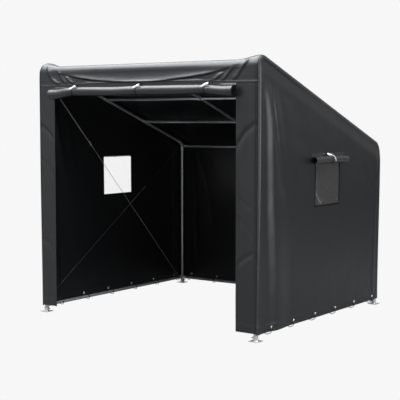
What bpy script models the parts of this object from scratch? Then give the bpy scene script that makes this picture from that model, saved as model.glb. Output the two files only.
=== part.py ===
"""A bike storage tent: a bent tube frame on four feet under a fabric cover.

The open front faces -Y and is higher than the rear. Metres, +Z up. Heights
start at the underside of the feet, and depths start at the front legs until
place() moves them to the middle of the tent.
"""

import math

import bmesh
import bpy
import mathutils
import numpy as np

# Frame: middle lines of the tubes
LEG_X = 1.062
DEPTH = 1.956
TUBE_R = 0.0125
FITTING_R = 0.0165
ARM_R = 0.0153
GAP = 0.0003
RAFTER_Z = 2.103
RAFTER_SLOPE = -0.3575
FRONT_BEND = 0.055
REAR_BEND = 0.065
FITTING_ARM = 0.03
STUB = 0.045
JOINT = 0.032
FRONT_BEAM_TURN = math.radians(144.3)
REAR_BEAM_TURN = math.radians(15)
PURLINS_Y = (0.80, 1.357)
RAIL_Z = 0.055

# Where two round arms cross, one is this much smaller or lower than the other
ARM_STEP = 0.0002
ARM_DROP = 0.0004

# Feet: plate, socket, neck and clamping bolt
PLATE = 0.08
PLATE_T = 0.005
SOCKET_R = 0.019
SOCKET_Z = (0.002, 0.040)
NECK_Z = (0.030, 0.080)
BORE_Z = (0.008, 0.100)
BOLT_R = 0.006
BOLT_Z = 0.026
BOLT_X = (0.015, 0.028)

# Cover: it lies on the fittings at INNER, and hangs loose outside the legs
INNER = 0.0168
FABRIC = 0.004
OUTER = 0.028
WALL_OUT = 0.037
HEM_Z = 0.058
HEADER_Z = 1.915
DOOR_X = 0.908
WINDOW_W = 0.40
WINDOW_Z = (0.952, 1.312)
WINDOW_MID = 1.003
MESH_T = 0.0016

# Rolled door and window flaps
DOOR_ROLL_R = 0.0385
DOOR_ROLL_Z = 1.8665
DOOR_ROLL_X = (-0.930, 0.913)
DOOR_STRIP_Z = (DOOR_ROLL_Z + 0.004, HEADER_Z + 0.012)
DOOR_TIES_X = (-0.660, 0.004, 0.658)
FLAP_ROLL_R = 0.030
FLAP_ROLL_Z = 1.321
FLAP_ROLL_LEN = 0.54
FLAP_STRIP_Z = (FLAP_ROLL_Z + 0.003, FLAP_ROLL_Z + 0.050)
FLAP_STRIP_T = 0.003
LOOP_R = 0.0025
LOOP_STEPS = 19
DOOR_LOOP = (math.radians(72), math.radians(318))
FLAP_LOOP = (math.radians(109), math.radians(-126))
TOGGLE_R = 0.0055
TOGGLE_LEN = 0.052
DOOR_TOGGLE_Z = 1.910
FLAP_TOGGLE_Z = FLAP_ROLL_Z + 0.042
TOGGLE_TILT = math.radians(20)

# Side braces: each falls from a front leg or rises from it, and has a tightening bar
ROPE_R = 0.002
ROPE_IN = {"falling": 0.0188, "rising": 0.0236}
HOOK_R = 0.006
HOOK_IN = 0.0285
FALLING_ENDS = ((0.0, 2.0), (1.885, RAIL_Z))
RISING_FOOT = (0.0, 0.12)
RISING_TURN = math.radians(45)
ADJUSTER_Y = {"falling": 0.557, "rising": 1.310}
ADJUSTER_LEN = 0.05
ADJUSTER_R = 0.005

# The tent reaches from the front of the rolled door to the rear edge of the feet
FRONT_REACH = OUTER + GAP + 2 * DOOR_ROLL_R + GAP + 2 * LOOP_R
MID = (DEPTH + PLATE / 2 - FRONT_REACH) / 2

SIDES = {"left": -1.0, "right": 1.0}

# Faces round a tube, a rolled cloth, a small rod and a thin cord
ROUND = 24
ROLL_ROUND = 32
SMALL_ROUND = 14
THIN_ROUND = 8

# In a sharp bend the section is stretched no more than this much
MOST_STRETCH = 1.43
SMOOTH_UNDER = math.radians(35)
MERGE = 0.00001

for old in list(bpy.data.objects):
    bpy.data.objects.remove(old, do_unlink=True)


def material(name, colour, rough, metallic=0.0):
    """A plain material in one colour."""
    m = bpy.data.materials.new(name)
    m.use_nodes = True
    shader = m.node_tree.nodes["Principled BSDF"]
    shader.inputs["Base Color"].default_value = (*colour, 1.0)
    shader.inputs["Roughness"].default_value = rough
    shader.inputs["Metallic"].default_value = metallic
    return m


def place(name, shell, smooth=True):
    """One object from a closed shell, moved back by MID and given its own material."""
    verts, faces = shell
    mesh = bpy.data.meshes.new(name)
    mesh.from_pydata([(x, y - MID, z) for x, y, z in verts], [], faces)
    bm = bmesh.new()
    bm.from_mesh(mesh)
    bmesh.ops.recalc_face_normals(bm, faces=bm.faces)
    bm.to_mesh(mesh)
    bm.free()
    obj = bpy.data.objects.new(name, mesh)
    bpy.context.collection.objects.link(obj)
    colour, rough, metallic = LOOKS[look_of(name)]
    mesh.materials.append(material(name, colour, rough, metallic))
    if smooth:
        mesh.shade_smooth()
        mesh.set_sharp_from_angle(angle=SMOOTH_UNDER)
    return obj


def sweep(points, radii, side, count=ROUND):
    """A closed round body through the points; side is a direction no part of the path follows."""
    points = [mathutils.Vector(p) for p in points]
    side = mathutils.Vector(side)
    last = len(points) - 1
    verts = []
    for i, p in enumerate(points):
        ahead = (points[min(i + 1, last)] - p).normalized()
        behind = (p - points[max(i - 1, 0)]).normalized()
        along = (ahead + behind).normalized()
        u = side.cross(along).normalized()
        v = along.cross(u)
        turned = 0 < i < last and (ahead - behind).length > MERGE
        stretch = min(MOST_STRETCH, 1.0 / math.cos(ahead.angle(behind) / 2)) if turned else 1.0
        bend = (ahead - behind).normalized() if turned else None
        for k in range(count):
            a = 2 * math.pi * k / count
            out = (u * math.cos(a) + v * math.sin(a)) * radii[i]
            if bend is not None:
                out += bend * out.dot(bend) * (stretch - 1.0)
            verts.append(tuple(p + out))
    faces = [list(range(count))[::-1]]
    for i in range(last):
        for k in range(count):
            n = (k + 1) % count
            faces.append([i * count + k, i * count + n, (i + 1) * count + n, (i + 1) * count + k])
    faces.append([last * count + k for k in range(count)])
    return verts, faces


def rod(a, b, radius, count=ROUND):
    """A straight round bar from a to b."""
    d = mathutils.Vector(b) - mathutils.Vector(a)
    side = (0, 0, 1) if abs(d.normalized().z) < 0.9 else (0, 1, 0)
    return sweep([a, b], [radius, radius], side, count)


def upright(x, y, z, radius):
    """An upright round bar between two heights."""
    return rod((x, y, z[0]), (x, y, z[1]), radius)


def box(x, y, z):
    """A block between two values on each axis."""
    v = [(a, b, c) for c in z for b in y for a in x]
    f = [[0, 2, 3, 1], [4, 5, 7, 6], [0, 1, 5, 4], [2, 6, 7, 3], [0, 4, 6, 2], [1, 3, 7, 5]]
    return v, f


def slab(outline, hole, x0, x1):
    """A flat sheet with its outline in depth and height, between two values across."""
    loops = [outline] + ([hole] if hole else [])
    flat = [p for loop in loops for p in loop]
    tris = mathutils.geometry.tessellate_polygon(
        [[mathutils.Vector((p[0], p[1], 0)) for p in loop] for loop in loops]
    )
    n = len(flat)
    verts = [(x0, p[0], p[1]) for p in flat] + [(x1, p[0], p[1]) for p in flat]
    faces = [list(t) for t in tris] + [[i + n for i in reversed(t)] for t in tris]
    start = 0
    for loop in loops:
        m = len(loop)
        for i in range(m):
            j = (i + 1) % m
            faces.append([start + i, start + j, start + j + n, start + i + n])
        start += m
    return verts, faces


def combine(adds, cuts=()):
    """One closed shell from solids that run into each other, less the cuts."""
    made = []
    for v, f in list(adds) + list(cuts):
        mesh = bpy.data.meshes.new("part")
        mesh.from_pydata(v, [], f)
        bm = bmesh.new()
        bm.from_mesh(mesh)
        bmesh.ops.recalc_face_normals(bm, faces=bm.faces)
        bm.to_mesh(mesh)
        bm.free()
        made.append(bpy.data.objects.new("part", mesh))
        bpy.context.collection.objects.link(made[-1])
    body = made[0]
    for i, other in enumerate(made[1:], 1):
        mod = body.modifiers.new("join", "BOOLEAN")
        mod.operation = "UNION" if i < len(adds) else "DIFFERENCE"
        mod.solver = "EXACT"
        mod.object = other
        other.hide_render = True
        other.display_type = "WIRE"
    graph = bpy.context.evaluated_depsgraph_get()
    mesh = bpy.data.meshes.new_from_object(body.evaluated_get(graph))
    bm = bmesh.new()
    bm.from_mesh(mesh)
    bmesh.ops.remove_doubles(bm, verts=bm.verts, dist=MERGE)
    bmesh.ops.dissolve_degenerate(bm, edges=bm.edges, dist=MERGE)
    bm.to_mesh(mesh)
    bm.free()
    verts = [tuple(v.co) for v in mesh.vertices]
    faces = [list(p.vertices) for p in mesh.polygons]
    for o in made:
        bpy.data.objects.remove(o, do_unlink=True)
    return verts, faces


def rafter_z(y):
    """Height of the side rafters' middle line."""
    return RAFTER_Z + RAFTER_SLOPE * y


SLOPE = math.atan(RAFTER_SLOPE)
ALONG = (math.cos(SLOPE), math.sin(SLOPE))
FRONT_ARC = (FRONT_BEND, RAFTER_Z - FRONT_BEND * math.tan((math.pi / 2 - SLOPE) / 2))
REAR_CUT = REAR_BEND * math.tan((math.pi / 2 + SLOPE) / 2)
REAR_ARC = (DEPTH - REAR_BEND, rafter_z(DEPTH) - REAR_CUT)


def on_circle(centre, radius, turn):
    """The point of a circle in depth and height at an angle."""
    return (centre[0] + radius * math.cos(turn), centre[1] + radius * math.sin(turn))


FRONT_BEAM = on_circle(FRONT_ARC, FRONT_BEND, FRONT_BEAM_TURN)
REAR_BEAM = on_circle(REAR_ARC, REAR_BEND, REAR_BEAM_TURN)
BRACES = {
    "falling": FALLING_ENDS,
    "rising": (on_circle(REAR_ARC, REAR_BEND, RISING_TURN), RISING_FOOT),
}


def arc(centre, radius, start, end, steps):
    """Points on a circle in depth and height."""
    return [on_circle(centre, radius, turn) for turn in np.linspace(start, end, steps)]


def front_arc(offset, steps=11):
    """The front bend at a distance outside its middle line, from the leg to the rafter."""
    return arc(FRONT_ARC, FRONT_BEND + offset, math.pi, math.pi / 2 + SLOPE, steps)


def rear_arc(offset, steps=11):
    """The rear bend at a distance outside its middle line, from the rafter to the leg."""
    return arc(REAR_ARC, REAR_BEND + offset, math.pi / 2 + SLOPE, 0.0, steps)


LOOKS = {
    "metal": ((0.56, 0.57, 0.59), 0.38, 0.9),
    "cover": ((0.040, 0.042, 0.045), 0.55, 0.0),
    "mesh": ((0.05, 0.05, 0.052), 0.7, 0.0),
    "rope": ((0.30, 0.30, 0.31), 0.6, 0.0),
    "tie": ((0.80, 0.81, 0.82), 0.35, 0.0),
}


def look_of(name):
    """The look that a part has, from its name."""
    if "tie" in name:
        return "tie"
    if "mesh" in name:
        return "mesh"
    if "brace" in name:
        return "rope"
    for word in ("cover", "valance", "panel", "wall", "roll"):
        if word in name:
            return "cover"
    return "metal"


# Feet with sockets for the base rails, and the legs that stand in them
for end, leg_y in (("front", 0.0), ("rear", DEPTH)):
    for side, s in SIDES.items():
        x = s * LEG_X
        toward = 1.0 if end == "front" else -1.0
        half = PLATE / 2
        parts = [
            box((x - half, x + half), (leg_y - half, leg_y + half), (0.0, PLATE_T)),
            upright(x, leg_y, SOCKET_Z, SOCKET_R),
            upright(x, leg_y, NECK_Z, FITTING_R),
            rod((x, leg_y, RAIL_Z), (x, leg_y + toward * STUB, RAIL_Z), ARM_R),
        ]
        if end == "rear":
            z = RAIL_Z - ARM_DROP
            parts.append(rod((x, leg_y, z), (x - s * STUB, leg_y, z), ARM_R))
        near, far = [x - s * inward for inward in BOLT_X]
        parts.append(rod((near, leg_y, BOLT_Z), (far, leg_y, BOLT_Z), BOLT_R, SMALL_ROUND))
        bore = upright(x, leg_y, BORE_Z, TUBE_R + GAP)
        place("foot_%s_%s" % (end, side), combine(parts, [bore]))
        top = FRONT_ARC[1] if end == "front" else REAR_ARC[1]
        leg = upright(x, leg_y, (BORE_Z[0] + GAP, top - FITTING_ARM - GAP), TUBE_R)
        place("leg_%s_%s" % (end, side), leg)

# Base rails between the feet
for side, s in SIDES.items():
    x = s * LEG_X
    a = (x, STUB + GAP, RAIL_Z)
    b = (x, DEPTH - STUB - GAP, RAIL_Z)
    place("base_rail_%s" % side, rod(a, b, TUBE_R))
reach = LEG_X - STUB - GAP
place("base_rail_rear", rod((-reach, DEPTH, RAIL_Z), (reach, DEPTH, RAIL_Z), TUBE_R))


def bend_fitting(s, points, beam):
    """A bent corner with a short arm for the cross beam."""
    path = [(s * LEG_X, y, z) for y, z in points]
    body = sweep(path, [FITTING_R] * len(path), (1, 0, 0))
    arm = rod((s * LEG_X, *beam), (s * (LEG_X - STUB), *beam), ARM_R)
    return combine([body, arm])


def along_rafter(point, by):
    """The point a distance down the rafter's slope."""
    return (point[0] + by * ALONG[0], point[1] + by * ALONG[1])


front_path = [(0.0, FRONT_ARC[1] - FITTING_ARM)] + front_arc(0.0)
front_path.append(along_rafter(front_path[-1], FITTING_ARM))
rear_path = rear_arc(0.0)
rear_path = [along_rafter(rear_path[0], -FITTING_ARM)] + rear_path
rear_path.append((DEPTH, REAR_ARC[1] - FITTING_ARM))
for side, s in SIDES.items():
    place("corner_fitting_front_%s" % side, bend_fitting(s, front_path, FRONT_BEAM))
    place("corner_fitting_rear_%s" % side, bend_fitting(s, rear_path, REAR_BEAM))


def shift(p, q, by):
    """The point that lies a distance from p toward q."""
    p, q = mathutils.Vector(p), mathutils.Vector(q)
    return tuple(p + (q - p).normalized() * by)


def between(p, q, start, end):
    """A tube from p to q that stops short of each end."""
    return rod(shift(p, q, start), shift(q, p, end), TUBE_R)


# Side rafters, each one tube with two tees for the purlins
tees = [(y, rafter_z(y)) for y in PURLINS_Y]
for side, s in SIDES.items():
    p = (s * LEG_X, *front_path[-1])
    q = (s * LEG_X, *rear_path[0])
    parts = [between(p, q, GAP, GAP)]
    for tee in tees:
        c = (s * LEG_X, *tee)
        parts.append(rod(shift(c, p, JOINT), shift(c, q, JOINT), FITTING_R))
        parts.append(rod(c, shift(c, (0.0, *tee), STUB), ARM_R))
    place("rafter_%s" % side, combine(parts))

# Cross beams and purlins, each one tube with a joint for the middle rafter
middle = [FRONT_BEAM] + tees + [REAR_BEAM]
ends = [STUB, JOINT, JOINT, STUB]
for i, name in enumerate(("front_beam", "purlin_upper", "purlin_lower", "rear_beam")):
    c = (0.0, *middle[i])
    left = (-LEG_X, *middle[i])
    right = (LEG_X, *middle[i])
    parts = [between(left, right, STUB + GAP, STUB + GAP)]
    parts.append(rod(shift(c, left, JOINT), shift(c, right, JOINT), FITTING_R))
    for j in (i - 1, i + 1):
        if 0 <= j < 4:
            radius = ARM_R - ARM_STEP if j > i else ARM_R
            parts.append(rod(c, shift(c, (0.0, *middle[j]), ends[i]), radius))
    place(name, combine(parts))
for i, name in enumerate(("front", "middle", "rear")):
    p = (0.0, *middle[i])
    q = (0.0, *middle[i + 1])
    place("middle_rafter_%s" % name, between(p, q, ends[i] + GAP, ends[i + 1] + GAP))

# Side braces: ropes between hooks, each with a tightening bar
for side, s in SIDES.items():
    for name, ends in BRACES.items():
        upper, lower = ends
        x = s * (LEG_X - ROPE_IN[name])
        p = (x, *upper)
        q = (x, *lower)
        share = (ADJUSTER_Y[name] - upper[0]) / (lower[0] - upper[0])
        bar = mathutils.Vector(p).lerp(mathutils.Vector(q), share)
        half = ADJUSTER_LEN / 2
        parts = [rod(p, q, ROPE_R, THIN_ROUND)]
        parts.append(rod(shift(bar, p, half), shift(bar, q, half), ADJUSTER_R, SMALL_ROUND))
        for y, z in ends:
            on_leg = y == 0.0 and z < FRONT_ARC[1] - FITTING_ARM - HOOK_R
            face = (TUBE_R if z == RAIL_Z or on_leg else FITTING_R) + GAP
            near, far = s * (LEG_X - face), s * (LEG_X - HOOK_IN)
            parts.append(rod((near, y, z), (far, y, z), HOOK_R, SMALL_ROUND))
        place("brace_%s_%s" % (name, side), combine(parts))

# Roof cover, bent down at the front and the rear
EDGE_X = LEG_X + WALL_OUT
roof = front_arc(OUTER) + rear_arc(OUTER) + rear_arc(INNER)[::-1] + front_arc(INNER)[::-1]
place("roof_cover", slab(roof, None, -EDGE_X, EDGE_X))

# Header valance and the narrow panels beside the doorway
front_y = (-OUTER, FABRIC - OUTER)
header = box((-EDGE_X, EDGE_X), front_y, (HEADER_Z, FRONT_ARC[1] - GAP))
place("header_valance", header, smooth=False)
for side, s in SIDES.items():
    x = sorted((s * DOOR_X, s * EDGE_X))
    panel = box(x, front_y, (HEM_Z, HEADER_Z - GAP))
    place("front_panel_%s" % side, panel, smooth=False)

# Side walls with their windows cut through, and the mesh in the windows
under_roof = INNER - GAP
behind_front = OUTER - FABRIC - GAP
outline = [(-behind_front, HEM_Z), (-behind_front, FRONT_ARC[1] - GAP), (-under_roof, FRONT_ARC[1] - GAP)]
outline += front_arc(under_roof)[1:] + rear_arc(under_roof)[:-1]
outline += [(DEPTH + under_roof, REAR_ARC[1] - GAP), (DEPTH + behind_front, REAR_ARC[1] - GAP)]
outline += [(DEPTH + behind_front, HEM_Z)]
y0, y1 = WINDOW_MID - WINDOW_W / 2, WINDOW_MID + WINDOW_W / 2
z0, z1 = WINDOW_Z
hole = [(y0, z0), (y1, z0), (y1, z1), (y0, z1)]
for side, s in SIDES.items():
    x0, x1 = sorted((s * (EDGE_X - FABRIC), s * EDGE_X))
    place("side_wall_%s" % side, slab(outline, hole, x0, x1), smooth=False)
    middle = (x0 + x1) / 2
    mesh_x = (middle - MESH_T / 2, middle + MESH_T / 2)
    mesh = box(mesh_x, (y0 + GAP, y1 - GAP), (z0 + GAP, z1 - GAP))
    place("window_mesh_%s" % side, mesh, smooth=False)

# Rear wall
rear_y = (DEPTH + OUTER - FABRIC, DEPTH + OUTER)
rear = box((-EDGE_X, EDGE_X), rear_y, (HEM_Z, REAR_ARC[1] - GAP))
place("rear_wall", rear, smooth=False)

# Rolled door, hung from the header on a strip of its own fabric
front_face = -OUTER - GAP
roll_y = front_face - DOOR_ROLL_R
ends = [(x, roll_y, DOOR_ROLL_Z) for x in DOOR_ROLL_X]
roll = rod(*ends, DOOR_ROLL_R, ROLL_ROUND)
strip = box(DOOR_ROLL_X, (front_face - FABRIC, front_face), DOOR_STRIP_Z)
place("door_roll", combine([roll, strip]))

# Ties round the rolled door: an elastic loop and a toggle
front_face -= FABRIC + GAP
for name, x in zip(("left", "middle", "right"), DOOR_TIES_X):
    top = (front_face - TOGGLE_R, DOOR_TOGGLE_Z)
    around = DOOR_ROLL_R + GAP + LOOP_R
    ring = [top] + arc((roll_y, DOOR_ROLL_Z), around, *DOOR_LOOP, LOOP_STEPS)
    loop = sweep([(x, y, z) for y, z in ring], [LOOP_R] * len(ring), (1, 0, 0), THIN_ROUND)
    reach = mathutils.Vector((math.cos(TOGGLE_TILT), 0, math.sin(TOGGLE_TILT))) * TOGGLE_LEN / 2
    c = mathutils.Vector((x, *top))
    toggle = rod(tuple(c - reach), tuple(c + reach), TOGGLE_R, SMALL_ROUND)
    place("door_tie_%s" % name, combine([loop, toggle]))

# Rolled window flaps, each with one tie
y0, y1 = WINDOW_MID - FLAP_ROLL_LEN / 2, WINDOW_MID + FLAP_ROLL_LEN / 2
for side, s in SIDES.items():
    wall = s * (EDGE_X + GAP)
    x = wall + s * FLAP_ROLL_R
    roll = rod((x, y0, FLAP_ROLL_Z), (x, y1, FLAP_ROLL_Z), FLAP_ROLL_R, ROLL_ROUND)
    strip = box(sorted((wall, wall + s * FLAP_STRIP_T)), (y0, y1), FLAP_STRIP_Z)
    place("window_roll_%s" % side, combine([roll, strip]))
    around = FLAP_ROLL_R + GAP + LOOP_R
    ring = arc((0.0, FLAP_ROLL_Z), around, *FLAP_LOOP, LOOP_STEPS)
    c = (wall + s * (FLAP_STRIP_T + GAP + TOGGLE_R), WINDOW_MID, FLAP_TOGGLE_Z)
    path = [c] + [(x + s * out, WINDOW_MID, z) for out, z in ring]
    loop = sweep(path, [LOOP_R] * len(path), (0, 1, 0), THIN_ROUND)
    half = TOGGLE_LEN / 2
    toggle = rod((c[0], c[1] - half, c[2]), (c[0], c[1] + half, c[2]), TOGGLE_R, SMALL_ROUND)
    place("window_tie_%s" % side, combine([loop, toggle]))
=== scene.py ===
"""Looks of a bike storage tent: one sewn cover of coated cloth over a bent tube frame.

Metres, +Z up. Depths are written from the front legs, and placed() moves them
to the frame's own middle. Every surface is a function of two parameters on a
grid, or a profile carried along a path.
"""

import math

import bpy
import numpy as np
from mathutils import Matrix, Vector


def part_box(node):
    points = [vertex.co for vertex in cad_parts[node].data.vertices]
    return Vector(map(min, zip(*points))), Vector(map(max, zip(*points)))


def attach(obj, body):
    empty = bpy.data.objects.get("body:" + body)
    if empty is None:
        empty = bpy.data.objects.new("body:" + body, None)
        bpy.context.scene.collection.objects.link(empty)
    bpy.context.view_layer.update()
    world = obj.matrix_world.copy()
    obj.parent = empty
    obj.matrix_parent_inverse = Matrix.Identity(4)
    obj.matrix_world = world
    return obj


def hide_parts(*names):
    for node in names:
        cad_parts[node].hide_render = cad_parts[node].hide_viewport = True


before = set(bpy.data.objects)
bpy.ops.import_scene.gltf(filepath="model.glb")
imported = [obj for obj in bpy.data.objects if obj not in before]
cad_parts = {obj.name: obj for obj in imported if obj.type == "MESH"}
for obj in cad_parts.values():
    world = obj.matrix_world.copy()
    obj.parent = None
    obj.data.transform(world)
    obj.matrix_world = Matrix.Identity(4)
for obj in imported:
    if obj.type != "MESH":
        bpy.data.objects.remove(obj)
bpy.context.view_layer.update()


def middle_of(node):
    """The middle of a node's box at rest."""
    low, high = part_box(node)
    return [(a + b) / 2 for a, b in zip(low, high)]


# Frame: middle lines of the tubes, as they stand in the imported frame
LEG_X, front_leg_y, _ = middle_of("leg_front_right")
MID = -front_leg_y
DEPTH = middle_of("leg_rear_right")[1] + MID
RAIL_Z = middle_of("base_rail_right")[2]
TUBE_R = 0.0125
RAFTER_Z = 2.103
RAFTER_FALL = -0.3575
SLOPE = math.atan(RAFTER_FALL)
FRONT_BEND = 0.055
REAR_BEND = 0.065
FRONT_ARC = (FRONT_BEND, RAFTER_Z - FRONT_BEND * math.tan((math.pi / 2 - SLOPE) / 2))
REAR_DROP = REAR_BEND * math.tan((math.pi / 2 + SLOPE) / 2)
REAR_ARC = (DEPTH - REAR_BEND, RAFTER_Z + RAFTER_FALL * DEPTH - REAR_DROP)
ROOF_NORMAL = math.pi / 2 + SLOPE
PURLINS_Y = (0.80, 1.357)

# Cover: cloth thickness, and its distance from the tubes' middle. Over the roof, at the
# front and at the rear that is WRAP, and at the sides it grows from the hem upwards
CLOTH = 0.0012
WRAP = 0.0335
HEM_GAP = 0.029
WALL_GAP = 0.0425
WALL_GAP_Z = (0.05, 1.35)
UNDER_ROOF = 0.12
SEAM_TURN = math.radians(36)
SEAM_OUT = WRAP * math.cos(SEAM_TURN)
PIPING_R = 0.0024
HEM_Z = 0.052
PANEL_HEM_Z = 0.062
HEM_BAND = 0.062
HEADER_Z = 1.9155
DOOR_EDGE = {"left": 0.914, "right": 0.903}
WINDOW_WIDTH = 0.40
WINDOW_Z = (0.952, 1.312)
WINDOW_MID = 1.003
SIDES = {"left": -1.0, "right": 1.0}

# Rolled door and window flaps
ROLL_R = 0.0380
ROLL_CENTRE = (-0.0668, 1.8665)
ROLL_X = (-0.928, 0.905)
TIES_X = (-0.664, 0.0, 0.655)
FLAP_R = 0.0280
FLAP_CENTRE = (LEG_X + WALL_GAP + 0.0024 + FLAP_R, 1.321)
FLAP_HALF = 0.27


def eased(value, low, high):
    """0 before low, 1 after high, and a smooth rise of 3t^2 - 2t^3 between them."""
    t = np.clip((value - low) / (high - low), 0.0, 1.0)
    return t * t * (3.0 - 2.0 * t)


def through(points, count, closed=False):
    """A smooth path through the points: on each span the cubic whose slope at a point
    is half the step between its two neighbours."""
    p = np.asarray(points, float)
    if closed:
        q = np.concatenate([p[-1:], p, p[:2]])
        spans = len(p)
    else:
        q = np.concatenate([2 * p[:1] - p[1:2], p, 2 * p[-1:] - p[-2:-1]])
        spans = len(p) - 1
    s = np.linspace(0.0, spans, count, endpoint=not closed)
    i = np.minimum(s.astype(int), spans - 1)
    t = (s - i)[:, None]
    a, b, c, d = q[i], q[i + 1], q[i + 2], q[i + 3]
    slope = (3 * b - a - 3 * c + d) * t**3 + (2 * a - 5 * b + 4 * c - d) * t**2
    return b + 0.5 * (slope + (c - a) * t)


def line_at(table, at):
    """A value read from a table of (place, value) pairs in rising order, smoothed between."""
    table = np.asarray(table, float)
    fine = through(table, 12 * len(table))
    return np.interp(at, fine[:, 0], fine[:, 1])


def stops(*spans):
    """Places along a line: each span is (start, end, step), and shared ends are kept once."""
    parts = [np.linspace(a, b, max(2, int(round((b - a) / step)) + 1)) for a, b, step in spans]
    return np.unique(np.round(np.concatenate(parts), 6))


def placed(x, y, z):
    """Points from widths, depths behind the front legs and heights."""
    x, y, z = np.broadcast_arrays(x, y, z)
    return np.stack([x, y - MID, z], -1)


# Meshes from grids and rings


def normals_of(points):
    """Unit normals of a grid: the cross product of its steps one way and the other."""
    n = np.cross(np.gradient(points, axis=0), np.gradient(points, axis=1))
    return n / np.maximum(np.linalg.norm(n, axis=2, keepdims=True), 1e-12)


def cloth_shell(points, thick, flat, edge, keep=None, normal=None):
    """Two skins of a surface, half the thickness to each side of it along its normal,
    joined round every open edge. flat and edge are its two maps in metres."""
    n, m = points.shape[:2]
    count = n * m
    normal = normals_of(points) if normal is None else normal
    half = normal * np.broadcast_to(np.asarray(thick) / 2.0, (n, m))[..., None]
    verts = np.concatenate([(points + half).reshape(-1, 3), (points - half).reshape(-1, 3)])
    number = np.arange(count).reshape(n, m)
    a, b = number[:-1, :-1], number[1:, :-1]
    c, d = number[1:, 1:], number[:-1, 1:]
    keep = np.ones(a.shape, bool) if keep is None else keep
    quads = np.stack([a, b, c, d], -1)[keep]
    faces = [quads, quads[:, ::-1] + count]
    ring = np.pad(keep, 1)
    sides = (
        (a, d, ring[:-2, 1:-1]),
        (c, b, ring[2:, 1:-1]),
        (b, a, ring[1:-1, :-2]),
        (d, c, ring[1:-1, 2:]),
    )
    for p, q, beyond in sides:
        open_edge = keep & ~beyond
        p, q = p[open_edge], q[open_edge]
        faces.append(np.stack([p, q, q + count, p + count], -1))
    faces = np.concatenate(faces)
    flat = np.tile(flat.reshape(-1, 2), (2, 1))
    edge = np.tile(edge.reshape(-1, 2), (2, 1))
    used, renumbered = np.unique(faces, return_inverse=True)
    return verts[used], [(renumbered.reshape(faces.shape), flat[faces], edge[faces])]


def ring_shell(rings, closed=False):
    """A body from rings of points. The rings join one to the next, and the last joins the
    first if closed, or else each end is a fan to the middle of its ring."""
    n, m = rings.shape[:2]
    number = np.arange(n * m).reshape(n, m)
    rows = n if closed else n - 1
    i, k = np.meshgrid(np.arange(rows), np.arange(m), indexing="ij")
    j, l = (i + 1) % n, (k + 1) % m
    quads = np.stack([number[i, k], number[j, k], number[j, l], number[i, l]], -1).reshape(-1, 4)
    steps = np.linalg.norm(np.diff(rings, axis=0, append=rings[:1]), axis=2).mean(1)
    along = np.concatenate([[0.0], np.cumsum(steps)])
    girth = np.linalg.norm(rings[:, 1] - rings[:, 0], axis=1).mean()
    low, high = along[i].ravel(), along[i + 1].ravel()
    left, right = (girth * k).ravel(), (girth * (k + 1)).ravel()
    corners = [(low, left), (high, left), (high, right), (low, right)]
    flat = np.stack([np.stack(pair, -1) for pair in corners], 1)
    faces = [(quads, flat, np.zeros_like(flat))]
    verts = rings.reshape(-1, 3)
    if not closed:
        verts = np.concatenate([verts, rings[0].mean(0)[None], rings[-1].mean(0)[None]])
        near = np.arange(m)
        beyond = (near + 1) % m
        first = np.stack([np.full(m, n * m), near, beyond], -1)
        last = np.stack([np.full(m, n * m + 1), (n - 1) * m + beyond, (n - 1) * m + near], -1)
        caps = np.concatenate([first, last])
        faces.append((caps, verts[caps][..., :2], np.zeros((len(caps), 3, 2))))
    return verts, faces


def cord_body(path, radius, across, sides=8, closed=False):
    """A round body: a circle carried square to a path. across is a direction that the path
    never follows."""
    path = np.asarray(path, float)
    if closed:
        ahead = np.roll(path, -1, 0) - np.roll(path, 1, 0)
    else:
        ahead = np.gradient(path, axis=0)
    ahead /= np.linalg.norm(ahead, axis=1, keepdims=True)
    u = np.cross(np.asarray(across, float), ahead)
    u /= np.linalg.norm(u, axis=1, keepdims=True)
    v = np.cross(ahead, u)
    a = np.arange(sides) * 2 * math.pi / sides
    circle = u[:, None] * np.cos(a)[None, :, None] + v[:, None] * np.sin(a)[None, :, None]
    return ring_shell(path[:, None] + radius * circle, closed)


def turned(profile, foot, axis, sides=16, closed=False):
    """A body of revolution: a profile of (radius, height) pairs carried round an axis that
    starts at foot. A closed profile makes a ring, such as an eyelet."""
    axis = np.asarray(axis, float) / np.linalg.norm(axis)
    helper = np.array([0.0, 0.0, 1.0]) if abs(axis[2]) < 0.9 else np.array([1.0, 0.0, 0.0])
    u = np.cross(helper, axis)
    u /= np.linalg.norm(u)
    v = np.cross(axis, u)
    r, h = np.asarray(profile, float).T
    a = np.arange(sides) * 2 * math.pi / sides
    spoke = u * np.cos(a)[:, None] + v * np.sin(a)[:, None]
    rings = np.asarray(foot, float) + h[:, None, None] * axis + r[:, None, None] * spoke[None]
    return ring_shell(rings, closed)


def points_outwards(verts, faces):
    """True if the faces enclose a positive volume, which is the sum of the signed
    volumes between each of their triangles and the middle of the points."""
    middle = verts - verts.mean(0)
    total = 0.0
    for corners, _, _ in faces:
        p = middle[corners]
        for i in range(1, corners.shape[1] - 1):
            total += float((p[:, 0] * np.cross(p[:, i], p[:, i + 1])).sum())
    return total > 0


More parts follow.
